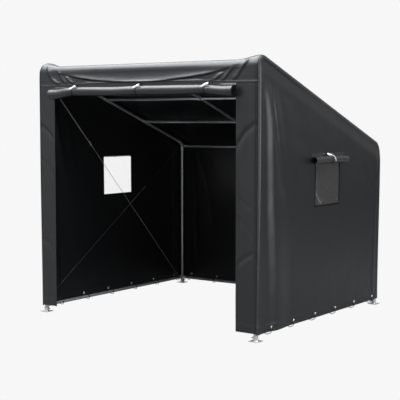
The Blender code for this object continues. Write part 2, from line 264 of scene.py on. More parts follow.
def make_piece(name, shells, finish, stands_for=(), crisp=40.0):
    """One object from closed shells, with its maps, its finish and its place in the frame."""
    verts, corners, sizes, flat, edge = [], [], [], [], []
    start = 0
    for shell, faces in shells:
        out = points_outwards(shell, faces)
        for indices, flat_map_part, edge_map_part in faces:
            turn = slice(None) if out else slice(None, None, -1)
            corners.append((indices[:, turn] + start).ravel())
            flat.append(flat_map_part[:, turn].reshape(-1, 2))
            edge.append(edge_map_part[:, turn].reshape(-1, 2))
            sizes.append(np.full(len(indices), indices.shape[1]))
        verts.append(shell)
        start += len(shell)
    verts, corners, sizes = np.concatenate(verts), np.concatenate(corners), np.concatenate(sizes)
    mesh = bpy.data.meshes.new(name)
    mesh.vertices.add(len(verts))
    mesh.vertices.foreach_set("co", verts.astype(np.float32).ravel())
    mesh.loops.add(len(corners))
    mesh.loops.foreach_set("vertex_index", corners.astype(np.int32))
    mesh.polygons.add(len(sizes))
    starts = np.concatenate([[0], np.cumsum(sizes)[:-1]])
    mesh.polygons.foreach_set("loop_start", starts.astype(np.int32))
    mesh.polygons.foreach_set("loop_total", sizes.astype(np.int32))
    for label, values in (("flat", flat), ("edge", edge)):
        layer = mesh.uv_layers.new(name=label)
        layer.data.foreach_set("uv", np.concatenate(values).astype(np.float32).ravel())
    mesh.update(calc_edges=True)
    mesh.validate()
    mesh.materials.append(finish)
    mesh.shade_smooth()
    mesh.set_sharp_from_angle(angle=math.radians(crisp))
    piece = bpy.data.objects.new(name, mesh)
    bpy.context.scene.collection.objects.link(piece)
    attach(piece, "root")
    if stands_for:
        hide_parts(*stands_for)
    return piece


# Materials


def maths(tree, operation, *values, clamp=False):
    """A Math node whose inputs are sockets or numbers; gives its output."""
    node = tree.nodes.new("ShaderNodeMath")
    node.operation = operation
    node.use_clamp = clamp
    for socket, value in zip(node.inputs, values):
        if isinstance(value, (int, float)):
            socket.default_value = value
        else:
            tree.links.new(value, socket)
    return node.outputs[0]


def new_group(name, inputs, outputs):
    """An empty node group with named float or vector sockets; gives its tree and ends."""
    tree = bpy.data.node_groups.new(name, "ShaderNodeTree")
    for label, value in inputs.items():
        kind = "NodeSocketVector" if value is None else "NodeSocketFloat"
        socket = tree.interface.new_socket(label, in_out="INPUT", socket_type=kind)
        if value is not None:
            socket.default_value = value
    for label in outputs:
        tree.interface.new_socket(label, in_out="OUTPUT", socket_type="NodeSocketFloat")
    return tree, tree.nodes.new("NodeGroupInput").outputs, tree.nodes.new("NodeGroupOutput").inputs


def noise(tree, vector, scale, detail=3.0, rough=0.55):
    """A noise value at a vector socket. The scale is a number or a socket."""
    node = tree.nodes.new("ShaderNodeTexNoise")
    tree.links.new(vector, node.inputs["Vector"])
    node.inputs["Detail"].default_value = detail
    node.inputs["Roughness"].default_value = rough
    if isinstance(scale, (int, float)):
        node.inputs["Scale"].default_value = scale
    else:
        tree.links.new(scale, node.inputs["Scale"])
    return node.outputs["Fac"]


def split(tree, vector):
    """The three parts of a vector socket."""
    node = tree.nodes.new("ShaderNodeSeparateXYZ")
    tree.links.new(vector, node.inputs[0])
    return node.outputs


def weave_group():
    """Plain weave: threads over and under, from the product of the sines of both flat
    coordinates, with uneven thread thickness. Spacing is in metres."""
    tree, given, made = new_group(
        "plain_weave", {"Flat": None, "Spacing": 0.0011, "Unevenness": 0.3}, ["Height"]
    )
    parts = split(tree, given["Flat"])
    turns = maths(tree, "DIVIDE", math.pi, given["Spacing"])
    u = maths(tree, "SINE", maths(tree, "MULTIPLY", parts[0], turns))
    v = maths(tree, "SINE", maths(tree, "MULTIPLY", parts[1], turns))
    over = maths(tree, "MULTIPLY_ADD", maths(tree, "MULTIPLY", u, v), 0.5, 0.5)
    slub = maths(tree, "MULTIPLY", noise(tree, given["Flat"], 240.0, 2.0), given["Unevenness"])
    tree.links.new(maths(tree, "ADD", over, slub), made["Height"])
    return tree


def stitch_group():
    """Two rows of stitches along a sewn edge: a narrow band across times a dashed wave
    along, with a shallow groove under the thread."""
    tree, given, made = new_group(
        "stitch_rows",
        {"Edge": None, "First": 0.006, "Second": 0.022, "Length": 0.0045},
        ["Stitch", "Groove"],
    )
    parts = split(tree, given["Edge"])
    rows, grooves = [], []
    for label in ("First", "Second"):
        away = maths(tree, "ABSOLUTE", maths(tree, "SUBTRACT", parts[1], given[label]))
        rows.append(maths(tree, "LESS_THAN", away, 0.0006))
        grooves.append(maths(tree, "SUBTRACT", 1.0, maths(tree, "DIVIDE", away, 0.003), clamp=True))
    turn = maths(tree, "DIVIDE", parts[0], given["Length"])
    dash = maths(tree, "LESS_THAN", maths(tree, "FRACT", turn), 0.72)
    tree.links.new(maths(tree, "MULTIPLY", maths(tree, "MAXIMUM", *rows), dash), made["Stitch"])
    tree.links.new(maths(tree, "MAXIMUM", *grooves), made["Groove"])
    return tree


def handling_group():
    """Marks of handling: broad cloudy wear, fine scuffs, soft crumpling and settled dust,
    from noise at four scales. Dust gathers towards the ground."""
    tree, given, made = new_group(
        "handling", {"Place": None, "Breadth": 2.0, "Fineness": 60.0}, ["Cloud", "Scuff", "Crumple", "Dust"]
    )
    place = given["Place"]
    tree.links.new(noise(tree, place, given["Breadth"], 4.0), made["Cloud"])
    tree.links.new(noise(tree, place, given["Fineness"], 5.0, 0.7), made["Scuff"])
    tree.links.new(noise(tree, place, 7.0, 2.0, 0.4), made["Crumple"])
    low = maths(tree, "SUBTRACT", 1.0, maths(tree, "DIVIDE", split(tree, place)[2], 0.45), clamp=True)
    speck = noise(tree, place, 22.0, 6.0, 0.7)
    tree.links.new(maths(tree, "MULTIPLY", maths(tree, "POWER", low, 2.0), speck), made["Dust"])
    return tree


groups = {"weave": weave_group(), "stitch": stitch_group(), "handling": handling_group()}


def blank_finish(name):
    """A new material with its tree and its Principled shader."""
    finish = bpy.data.materials.new(name)
    finish.use_nodes = True
    return finish, finish.node_tree, finish.node_tree.nodes["Principled BSDF"]


def use_group(tree, name, vector, **values):
    """A group placed in a material, fed by a vector socket and given its own values."""
    node = tree.nodes.new("ShaderNodeGroup")
    node.node_tree = groups[name]
    tree.links.new(vector, node.inputs[0])
    for label, value in values.items():
        node.inputs[label].default_value = value
    return node.outputs


def map_socket(tree, label):
    """The piece's own map of that name."""
    node = tree.nodes.new("ShaderNodeUVMap")
    node.uv_map = label
    return node.outputs["UV"]


def place_socket(tree):
    """Object coordinates."""
    return tree.nodes.new("ShaderNodeTexCoord").outputs["Object"]


def mixed(tree, share, first, second):
    """A colour between two by a share that is a socket. Each is a colour or a socket. A Mix
    node's colour sockets share their names with its other kinds, so they are found by kind."""
    node = tree.nodes.new("ShaderNodeMix")
    node.data_type = "RGBA"
    tree.links.new(share, node.inputs[0])
    ends = [socket for socket in node.inputs if socket.type == "RGBA"]
    for socket, value in zip(ends, (first, second)):
        if isinstance(value, tuple):
            socket.default_value = (*value, 1.0)
        else:
            tree.links.new(value, socket)
    return [socket for socket in node.outputs if socket.type == "RGBA"][0]


def span(tree, value, low, high):
    """A socket from 0 to 1 stretched over low to high."""
    node = tree.nodes.new("ShaderNodeMapRange")
    tree.links.new(value, node.inputs["Value"])
    node.inputs["To Min"].default_value = low
    node.inputs["To Max"].default_value = high
    return node.outputs["Result"]


def bumped(tree, shader, heights):
    """Bump nodes in a row, each with its height socket, strength and depth in metres."""
    normal = None
    for height, strength, depth in heights:
        node = tree.nodes.new("ShaderNodeBump")
        node.inputs["Strength"].default_value = strength
        node.inputs["Distance"].default_value = depth
        tree.links.new(height, node.inputs["Height"])
        if normal is not None:
            tree.links.new(normal, node.inputs["Normal"])
        normal = node.outputs["Normal"]
    tree.links.new(normal, shader.inputs["Normal"])


def coated_cloth(name, dark, pale, rough, rows, gloss=0.5):
    """Woven cloth under a soft coating: dark base with cloudy wear, pale dust low down,
    two rows of stitches along sewn edges, and the weave in relief."""
    finish, tree, shader = blank_finish(name)
    wear = use_group(tree, "handling", place_socket(tree), Breadth=1.7, Fineness=45.0)
    weave = use_group(tree, "weave", map_socket(tree, "flat"), Spacing=0.0012, Unevenness=0.35)
    seams = use_group(tree, "stitch", map_socket(tree, "edge"), First=rows[0], Second=rows[1])
    dusty = tuple(min(1.0, c * 3.0 + 0.01) for c in pale)
    thread = tuple(c * 1.8 for c in pale)
    colour = mixed(tree, wear["Cloud"], dark, pale)
    colour = mixed(tree, span(tree, wear["Dust"], 0.0, 0.30), colour, dusty)
    colour = mixed(tree, span(tree, seams["Stitch"], 0.0, 0.8), colour, thread)
    tree.links.new(colour, shader.inputs["Base Color"])
    tree.links.new(span(tree, wear["Scuff"], rough - 0.06, rough + 0.06), shader.inputs["Roughness"])
    shader.inputs["Specular IOR Level"].default_value = gloss
    bumped(tree, shader, [
        (wear["Crumple"], 0.35, 0.010),
        (wear["Scuff"], 0.10, 0.0006),
        (weave["Height"], 0.20, 0.00025),
        (seams["Groove"], -0.35, 0.0008),
        (seams["Stitch"], 0.5, 0.0006),
    ])
    return finish


def galvanised():
    """Zinc-coated steel tube: pale crystal patches and dull handling marks."""
    finish, tree, shader = blank_finish("galvanised_tube")
    place = place_socket(tree)
    wear = use_group(tree, "handling", place, Breadth=6.0, Fineness=180.0)
    crystals = tree.nodes.new("ShaderNodeTexVoronoi")
    crystals.inputs["Scale"].default_value = 95.0
    tree.links.new(place, crystals.inputs["Vector"])
    tone = tree.nodes.new("ShaderNodeSeparateColor")
    tree.links.new(crystals.outputs["Color"], tone.inputs[0])
    colour = mixed(tree, tone.outputs[0], (0.58, 0.59, 0.61), (0.72, 0.73, 0.74))
    colour = mixed(tree, span(tree, wear["Cloud"], 0.0, 0.5), colour, (0.48, 0.49, 0.51))
    tree.links.new(colour, shader.inputs["Base Color"])
    shader.inputs["Metallic"].default_value = 0.6
    tree.links.new(span(tree, wear["Scuff"], 0.16, 0.32), shader.inputs["Roughness"])
    bumped(tree, shader, [(wear["Scuff"], 0.08, 0.0003), (tone.outputs[0], 0.05, 0.0002)])
    return finish


def braided(name, dark, pale, pitch):
    """Braided cord: two sets of strands that wind opposite ways, from the sines of the sum
    and the difference of the flat coordinates."""
    finish, tree, shader = blank_finish(name)
    parts = split(tree, map_socket(tree, "flat"))
    strands = []
    for operation in ("ADD", "SUBTRACT"):
        wound = maths(tree, operation, parts[0], parts[1])
        strands.append(maths(tree, "SINE", maths(tree, "MULTIPLY", wound, math.pi / pitch)))
    height = maths(tree, "MULTIPLY_ADD", maths(tree, "MULTIPLY", *strands), 0.5, 0.5)
    wear = use_group(tree, "handling", place_socket(tree), Breadth=8.0, Fineness=300.0)
    tree.links.new(mixed(tree, height, dark, pale), shader.inputs["Base Color"])
    tree.links.new(span(tree, wear["Scuff"], 0.5, 0.75), shader.inputs["Roughness"])
    bumped(tree, shader, [(height, 0.6, 0.0005)])
    return finish


def moulded(name, dark, pale, rough, metallic=0.0):
    """Moulded or plated small parts: a faintly mottled colour with rubbed patches."""
    finish, tree, shader = blank_finish(name)
    wear = use_group(tree, "handling", place_socket(tree), Breadth=30.0, Fineness=260.0)
    tree.links.new(mixed(tree, wear["Cloud"], dark, pale), shader.inputs["Base Color"])
    tree.links.new(span(tree, wear["Scuff"], rough - 0.08, rough + 0.1), shader.inputs["Roughness"])
    shader.inputs["Metallic"].default_value = metallic
    bumped(tree, shader, [(wear["Scuff"], 0.1, 0.0002)])
    return finish


def open_mesh(spacing, thread_share):
    """Fine pale netting: two sets of thin threads, with open holes between them."""
    finish, tree, shader = blank_finish("window_netting")
    parts = split(tree, map_socket(tree, "flat"))
    threads = []
    for i in range(2):
        turn = maths(tree, "FRACT", maths(tree, "DIVIDE", parts[i], spacing))
        threads.append(maths(tree, "LESS_THAN", turn, thread_share))
    tree.links.new(maths(tree, "MAXIMUM", *threads), shader.inputs["Alpha"])
    wear = use_group(tree, "handling", place_socket(tree), Breadth=5.0, Fineness=90.0)
    colour = mixed(tree, wear["Cloud"], (0.44, 0.43, 0.41), (0.54, 0.53, 0.51))
    tree.links.new(colour, shader.inputs["Base Color"])
    tree.links.new(span(tree, wear["Scuff"], 0.5, 0.7), shader.inputs["Roughness"])
    bumped(tree, shader, [(wear["Scuff"], 0.1, 0.0002)])
    return finish


cloth_tones = ((0.0050, 0.0053, 0.0060), (0.0080, 0.0084, 0.0092))
cover_cloth = coated_cloth("cover_cloth", *cloth_tones, 0.37, (0.006, 0.016))
hemmed_cloth = coated_cloth("hemmed_cloth", *cloth_tones, 0.35, (0.006, 0.060))
rolled_cloth = coated_cloth("rolled_cloth", *cloth_tones, 0.36, (0.006, 0.021), gloss=0.6)
flap_cloth = coated_cloth("flap_cloth", *cloth_tones, 0.34, (0.006, 0.021), gloss=1.0)
# Near-black binding with little gloss. Its darkness is painted shade: it stands in for the shadow line
# beside the corner seam's piping and round the window edges, over a real binding tape.
binding_cloth_painted_shade = coated_cloth(
    "binding_cloth_painted_shade", (0.002, 0.002, 0.0023), (0.004, 0.004, 0.0045), 0.6, (0.0015, 0.010), gloss=0.12
)
steel = galvanised()
brace_cords = {
    "falling": braided("brace_cord_pale", (0.18, 0.18, 0.19), (0.42, 0.42, 0.43), 0.0016),
    "rising": braided("brace_cord_dark", (0.020, 0.020, 0.022), (0.060, 0.060, 0.063), 0.0016),
}
elastic_cord = braided("elastic_cord", (0.004, 0.004, 0.0045), (0.016, 0.016, 0.017), 0.0012)
toggle_white = moulded("toggle_white", (0.80, 0.80, 0.80), (0.90, 0.90, 0.90), 0.32)
knob_dark = moulded("knob_dark", (0.02, 0.02, 0.022), (0.05, 0.05, 0.053), 0.45)
plated = moulded("plated_metal", (0.55, 0.55, 0.55), (0.75, 0.75, 0.74), 0.28, metallic=1.0)
eyelet_metal = moulded("eyelet_metal", (0.72, 0.72, 0.72), (0.88, 0.88, 0.87), 0.30, metallic=0.15)
netting = open_mesh(spacing=0.0016, thread_share=0.018)


# Folds and profiles of the cover


def crease(a, b, line, rise, fall, fade=0.03):
    """Height of a soft crease. Its crest runs through (a, b) points; square to the crest it
    falls off as exp(-(distance / width)^2), with one width on the side of lower a and one
    on the other, and it fades out past both ends of the line."""
    line = np.asarray(sorted(line, key=lambda p: p[1]), float)
    crest = np.interp(b, line[:, 1], line[:, 0])
    lean = np.interp(b, line[:, 1], np.gradient(line[:, 0], line[:, 1]))
    away = (a - crest) / np.sqrt(1.0 + lean**2)
    width = np.where(away < 0, rise, fall)
    ends = eased(b, line[0, 1] - fade, line[0, 1] + fade)
    ends = ends * (1.0 - eased(b, line[-1, 1] - fade, line[-1, 1] + fade))
    return np.exp(-((away / width) ** 2)) * ends


def hanging_fold(y, z, rows):
    """Height of a fold that hangs down a wall. A row gives, for a height, where the fold
    starts, its crest, where it ends and how tall it is; it rises and falls as eased()."""
    rows = np.asarray(sorted(rows), float)
    start, crest, end, tall = (line_at(rows[:, [0, k]], z) for k in (1, 2, 3, 4))
    return tall * eased(y, start, crest) * (1.0 - eased(y, crest, end))


def ripples(a, b, size, seed):
    """Slight unevenness: a sum of six crossed cosine waves of falling length."""
    rng = np.random.default_rng(seed)
    total = np.zeros(np.broadcast(a, b).shape)
    for k in range(6):
        turn, lag = rng.uniform(0, math.pi), rng.uniform(0, 2 * math.pi)
        length = 0.9 / (1.0 + 0.7 * k)
        wave = (a * math.cos(turn) + b * math.sin(turn)) * 2 * math.pi / length
        total += np.cos(wave + lag) / (1.0 + 0.8 * k)
    return total * size / 3.0


def across_stations():
    """Columns across the cover: a width, no further out than the leg, and the angle that the
    cloth has then gone round the corner. They lie closer together near the corners."""
    turn = np.linspace(0.0, SEAM_TURN, 7)[1:]
    flat = np.concatenate([np.linspace(0.0, 0.60, 26)[:-1], np.linspace(0.60, LEG_X, 90)])
    width = np.concatenate([flat, np.full(len(turn), LEG_X)])
    turn = np.concatenate([np.zeros(len(flat)), turn])
    return np.concatenate([-width[:0:-1], width]), np.concatenate([turn[:0:-1], turn])


def wall_gap(y, z):
    """How far the cover stands outside the side tubes' middle plane: least at the hem, most
    from head height up, and less again close under the rafters."""
    up = HEM_GAP + (WALL_GAP - HEM_GAP) * eased(z, *WALL_GAP_Z)
    under = (RAFTER_Z + RAFTER_FALL * np.clip(y, 0.0, DEPTH) - z) * math.cos(SLOPE)
    return WRAP + (up - WRAP) * eased(under, 0.0, UNDER_ROOF)


WIDTH, TURN = across_stations()
OUTWARD = np.cos(TURN)
INSIDE = 1.0 - eased(np.abs(WIDTH), 0.87, LEG_X)

# Lower edge of the header by distance from the middle, and the belly's crest by width
HEADER_EDGE = (
    (-0.1, 1.934), (0.0, 1.934), (0.48, 1.934), (0.62, 1.928), (0.75, 1.922),
    (0.88, 1.919), (0.96, HEADER_Z), (1.11, HEADER_Z),
)
BELLY = (
    (-1.05, 2.085), (-0.95, 2.055), (-0.80, 2.014), (-0.64, 1.982), (-0.55, 1.970),
    (-0.47, 1.959), (-0.30, 1.948), (-0.14, 1.943), (0.03, 1.941), (0.19, 1.943),
    (0.36, 1.954), (0.51, 1.968), (0.66, 1.988), (0.80, 2.018), (0.95, 2.058), (1.05, 2.085),
)
# Folds that fan from the upper corners, each a crest in width and height, and its height
PULLS_LEFT = (
    (((-1.003, 2.090), (-0.978, 2.020), (-0.948, 1.978), (-0.908, 1.950), (-0.878, 1.935)), 0.009),
    (((-0.868, 2.030), (-0.848, 1.998), (-0.818, 1.962), (-0.790, 1.940)), 0.007),
    (((-0.790, 1.995), (-0.755, 1.963), (-0.715, 1.938)), 0.008),
)
PULLS_RIGHT = (
    (((1.008, 2.085), (0.978, 2.047), (0.948, 2.010), (0.917, 1.970), (0.892, 1.940)), 0.009),
    (((0.868, 2.025), (0.838, 1.988), (0.808, 1.956), (0.790, 1.935)), 0.007),
    (((0.775, 1.985), (0.740, 1.957), (0.705, 1.935)), 0.008),
)
PULL_WIDTHS = (0.008, 0.018)

# Halfway between the sides: distance out by height down the header, and from the centre of
# each bend by angle in degrees
HEADER_OUT = (
    (1.90, 0.0300), (1.934, 0.0300), (1.960, 0.0290), (1.985, 0.0270), (2.005, 0.0260), (2.0249, 0.0275),
)
FRONT_REACH = (
    (66.0, 0.0438), (70.33, 0.0445), (90.0, 0.0480), (111.0, 0.0585), (126.6, 0.0700),
    (138.8, 0.0752), (151.5, 0.0792), (165.5, 0.0817), (180.0, 0.0825),
)
REAR_REACH = ((0.0, 0.0910), (10.1, 0.0884), (20.7, 0.0802), (34.1, 0.0690), (50.0, 0.0622), (70.33, 0.0575))

# The belly's height, how fast it falls away above its crest, how round the crest is and how
# narrow the fall below it is; and the height of the lip along the header's lower edge
BELLY_HEIGHT = 0.0135
BELLY_ABOVE = 0.026
BELLY_TIP = 0.006
BELLY_BELOW = 0.007
LIP_HEIGHT = 0.0080

# How far the roof's middle lies above the rafters' plane at the front bend, at both purlins
# and at the rear bend; its sag between them; and its rise over the middle rafter and joints
ROOF_MIDDLE = (-0.0105, 0.0142, 0.0142, -0.0075)
ROOF_SAG = 0.007
RAFTER_RISE = 0.0030
JOINT_RISE = 0.0045

HEADER_ROWS = 36
FRONT_ROWS = 26
ROOF_ROWS = 74
REAR_ROWS = 16


def header_folds(x, z, low):
    """How far the front of the cover stands out beyond its plain shape: a long hanging belly,
    folds that fan from the corners, and the hem's raised lip. Above its crest the belly falls
    off exponentially with distance, rounded at the crest, and below it as a bell curve."""
    away = z - line_at(BELLY, x)
    full = BELLY_HEIGHT * (1.0 - eased(np.abs(x), 0.58, 0.98))
    above = 1.0 - np.sqrt(1.0 + (away / BELLY_TIP) ** 2)
    above = np.exp(above * BELLY_TIP / BELLY_ABOVE)
    out = full * np.where(away > 0, above, np.exp(-((away / BELLY_BELOW) ** 2)))
    steep, gentle = PULL_WIDTHS
    for line, height in PULLS_LEFT:
        out = out + height * crease(x, z, line, steep, gentle, 0.012)
    for line, height in PULLS_RIGHT:
        out = out + height * crease(x, z, line, gentle, steep, 0.012)
    lip = LIP_HEIGHT * (1.0 - 0.6 * eased(np.abs(x), 0.50, 0.62))
    return out + lip * np.exp(-(((z - low) / 0.0085) ** 2))


def round_corner(y, z):
    """Widths of the columns in rows at given depths and heights: past the leg the cloth goes
    round the corner, out by the side gap times the sine of its angle."""
    return WIDTH + np.sign(WIDTH) * wall_gap(y, z) * np.sin(TURN)


def cover_top():
    """The header and the roof as one surface. A row is a place along the side tubes with its
    outward direction; the cloth lies the wrap distance out at the sides, follows the beams
    between them and rises a little over the middle rafter and its joints. The header's rows
    run from its curved lower edge to the bend."""
    low = line_at(HEADER_EDGE, np.abs(WIDTH))
    t = np.linspace(0.0, 1.0, HEADER_ROWS, endpoint=False)[:, None]
    z = low + t * (FRONT_ARC[1] - low)
    out = WRAP * OUTWARD + INSIDE * (line_at(HEADER_OUT, z) - WRAP)
    out = out + header_folds(WIDTH, z, low) * OUTWARD
    x_rows = [round_corner(0.0, z)]
    rows = [np.stack([-out, z], -1)]

    angle = np.linspace(math.pi, ROOF_NORMAL, FRONT_ROWS)[:, None]
    middle = line_at(FRONT_REACH, np.degrees(angle))
    reach = FRONT_BEND + WRAP * OUTWARD + INSIDE * (middle - FRONT_BEND - WRAP)
    fade = eased(angle, math.radians(122), math.radians(150))
    reach = reach + fade * header_folds(WIDTH, FRONT_ARC[1] + reach * np.sin(angle), low) * OUTWARD
    rows.append(np.stack([FRONT_ARC[0] + reach * np.cos(angle), FRONT_ARC[1] + reach * np.sin(angle)], -1))
    tube_y, tube_z = FRONT_ARC[0] + FRONT_BEND * np.cos(angle), FRONT_ARC[1] + FRONT_BEND * np.sin(angle)
    x_rows.append(round_corner(tube_y, tube_z))

    normal = np.array([math.cos(ROOF_NORMAL), math.sin(ROOF_NORMAL)])
    first = np.array(FRONT_ARC) + FRONT_BEND * normal
    last = np.array(REAR_ARC) + REAR_BEND * normal
    t = np.linspace(0.0, 1.0, ROOF_ROWS + 2)[1:-1, None]
    foot = first + t * (last - first)
    y = foot[:, :1]
    purlins = [first[0], *PURLINS_Y, last[0]]
    middle = np.interp(y, purlins, ROOF_MIDDLE)
    bay = np.interp(y, purlins, [0.0, 1.0, 2.0, 3.0])
    sag = ROOF_SAG * np.sin(math.pi * bay) ** 2 * np.sin(math.pi * np.abs(WIDTH) / LEG_X) ** 2
    ridge = RAFTER_RISE * eased(bay, 0.0, 0.4) * (1.0 - eased(bay, 2.6, 3.0))
    ridge = ridge + JOINT_RISE * sum(np.exp(-(((y - purlin) / 0.08) ** 2)) for purlin in PURLINS_Y)
    middle = middle + ridge * np.exp(-((WIDTH / 0.09) ** 2))
    out = WRAP * OUTWARD + INSIDE * (middle - WRAP - sag + ripples(WIDTH, y, 0.0016, 3))
    rows.append(foot[:, None] + out[..., None] * normal)
    x_rows.append(round_corner(y, foot[:, 1:]))

    angle = np.linspace(ROOF_NORMAL, 0.0, REAR_ROWS)[:, None]
    middle = line_at(REAR_REACH, np.degrees(angle))
    reach = REAR_BEND + WRAP * OUTWARD + INSIDE * (middle - REAR_BEND - WRAP)
    rows.append(np.stack([REAR_ARC[0] + reach * np.cos(angle), REAR_ARC[1] + reach * np.sin(angle)], -1))
    tube_y, tube_z = REAR_ARC[0] + REAR_BEND * np.cos(angle), REAR_ARC[1] + REAR_BEND * np.sin(angle)
    x_rows.append(round_corner(tube_y, tube_z))
    rows = np.concatenate(rows)
    return placed(np.concatenate(x_rows), rows[..., 0], rows[..., 1]), low


def flat_map(points, start=0.0):
    """Flat coordinates of a grid: lengths along its columns and its rows, averaged so that
    the threads stay straight."""
    down = np.linalg.norm(np.diff(points, axis=0), axis=2).mean(1)
    over = np.linalg.norm(np.diff(points, axis=1), axis=2).mean(0)
    u = np.concatenate([[0.0], np.cumsum(over)])
    v = np.concatenate([[0.0], np.cumsum(down)]) + start
    return np.stack(np.meshgrid(u, v), -1)


def edge_map(flat, left=True, right=True, low=True, high=True):
    """Length along and distance from the nearest sewn edge of a grid."""
    u, v = flat[..., 0], flat[..., 1]
    near = np.full(u.shape, 1.0)
    along = v.copy()
    for wanted, gap, run in (
        (left, u - u.min(), v),
        (right, u.max() - u, v),
        (low, v - v.min(), u),
        (high, v.max() - v, u),
    ):
        if wanted:
            closer = gap < near
            near = np.where(closer, gap, near)
            along = np.where(closer, run, along)
    return np.stack([along, near], -1)


top, header_low = cover_top()
top_normal = normals_of(top)
hem_depth = np.linspace(0.0, 1.0, HEADER_ROWS + 1)[:, None] * (FRONT_ARC[1] - header_low)
header_thick = CLOTH + 0.0010 * (1.0 - eased(hem_depth, 0.010, 0.014))
header_points = top[: HEADER_ROWS + 1]
header_flat = flat_map(header_points)
header_shell = cloth_shell(
    header_points, header_thick, header_flat, edge_map(header_flat, high=False),
    normal=top_normal[: HEADER_ROWS + 1],
)
roof_points = top[HEADER_ROWS:]
roof_flat = flat_map(roof_points, header_flat[..., 1].max())
roof_shell = cloth_shell(
    roof_points, CLOTH, roof_flat, edge_map(roof_flat, low=False, high=False),
    normal=top_normal[HEADER_ROWS:],
)
header = make_piece("header_valance_cloth", [header_shell], cover_cloth, ["header_valance"])
roof = make_piece("roof_cover_cloth", [roof_shell], cover_cloth, ["roof_cover"])


# Front panels and rear wall

# Grooves across the front panels, each in height and width, with its depth
WRINKLES = {
    "left": (
        (((1.500, -0.945), (1.548, -0.995), (1.603, -1.078)), 0.0080),
        (((0.520, -0.940), (0.605, -0.998), (0.640, -1.070)), 0.0060),
        (((1.180, -0.930), (1.260, -0.990), (1.310, -1.060)), 0.0020),
    ),
    "right": (
        (((1.455, 0.905), (1.515, 0.950), (1.560, 0.985), (1.615, 1.068)), 0.0085),
        (((0.580, 0.920), (0.612, 0.960), (0.634, 0.990), (0.660, 1.055)), 0.0065),
        (((1.075, 0.920), (1.030, 0.980), (1.000, 1.030)), 0.0030),
        (((0.935, 0.910), (0.870, 0.980), (0.800, 1.040)), 0.0034),
    ),
}


def hanging_rows(foot, top_z, count):
    """Heights of a hanging cloth's rows: close together over the hem, then even."""
    hem = foot + np.array([0.0, 0.003, 0.010, 0.025, 0.045, HEM_BAND - 0.001, HEM_BAND + 0.003])
    return np.concatenate([hem, np.linspace(foot + HEM_BAND + 0.02, top_z, count)])


def hem_thickness(gap, band=HEM_BAND):
    """Cloth thickness at a distance from a hemmed edge: doubled over the band."""
    return CLOTH + 0.0012 * (1.0 - eased(gap, band - 0.001, band + 0.003))


def front_panel(side):
    """A narrow cloth beside the doorway: straight across the front, then round the leg to
    the corner seam, with slight slanting wrinkles."""
    s = SIDES[side]
    turn = np.linspace(0.0, SEAM_TURN, 7)[1:]
    edge = DOOR_EDGE[side] + np.array([0.0, 0.004, 0.012, 0.019, 0.023])
    width = np.concatenate([edge, np.linspace(edge[-1] + 0.007, LEG_X, 18), np.full(len(turn), LEG_X)])
    turn = np.concatenate([np.zeros(len(width) - len(turn)), turn])
    z = hanging_rows(PANEL_HEM_Z, HEADER_Z + 0.012, 130)[:, None]
    loose = -0.0020 + ripples(width * 3.0, z, 0.0018, 8)
    out = WRAP * np.cos(turn) + (1.0 - eased(width, 1.0, LEG_X)) * loose
    for line, depth in WRINKLES[side]:
        out = out - depth * crease(z, s * width, line, 0.024, 0.007, 0.02) * np.cos(turn)
    out = out - 0.0020 * eased(z, HEADER_Z - 0.03, HEADER_Z - 0.002)
    x = width + wall_gap(0.0, z) * np.sin(turn)
    points = placed(s * x, -out, z)
    flat = flat_map(points)
    thick = np.maximum(hem_thickness(z - PANEL_HEM_Z), hem_thickness(width - DOOR_EDGE[side], 0.020))
    return cloth_shell(points, thick, flat, edge_map(flat, high=False))


# Folds on the rear wall, each a crest in width and height, then its height and its breadth
REAR_FOLDS = (
    (((0.985, 1.33), (0.93, 0.95), (0.90, 0.40), (0.895, 0.12)), 0.0036, 0.035),
    (((0.90, 1.33), (0.78, 1.00), (0.70, 0.55)), 0.0020, 0.030),
    (((0.70, 1.30), (0.45, 1.08), (0.20, 0.98)), 0.0012, 0.040),
)


def rear_cloth():
    """The rear wall: out to the wrap distance at the corners and a little loose between
    them, with long soft folds that fall from the upper corners."""
    z = hanging_rows(HEM_Z, REAR_ARC[1], 56)[:, None]
    middle = np.interp(z, [HEM_Z, 0.30, 0.95, REAR_ARC[1]], [0.0220, 0.0270, 0.0280, 0.0260])
    folds = np.zeros(np.broadcast(WIDTH, z).shape)
    for s in (-1.0, 1.0):
        for line, height, width in REAR_FOLDS:
            folds = folds + height * crease(s * WIDTH, z, line, width, width * 0.6, 0.08)
    folds = folds * eased(z, HEM_Z, 0.4) + ripples(WIDTH, z, 0.0014, 12)
    out = WRAP * OUTWARD + INSIDE * (middle - WRAP + np.maximum(folds, -0.002))
    points = placed(round_corner(DEPTH, z), DEPTH + out, z)[:, ::-1]
    flat = flat_map(points)
    return cloth_shell(points, hem_thickness(z - HEM_Z), flat, edge_map(flat, high=False))


panels = {
    side: make_piece(
        "front_panel_cloth_" + side, [front_panel(side)], hemmed_cloth,
        ["front_panel_" + side],
    )
    for side in SIDES
}
rear_wall = make_piece("rear_wall_cloth", [rear_cloth()], hemmed_cloth, ["rear_wall"])


# Side walls

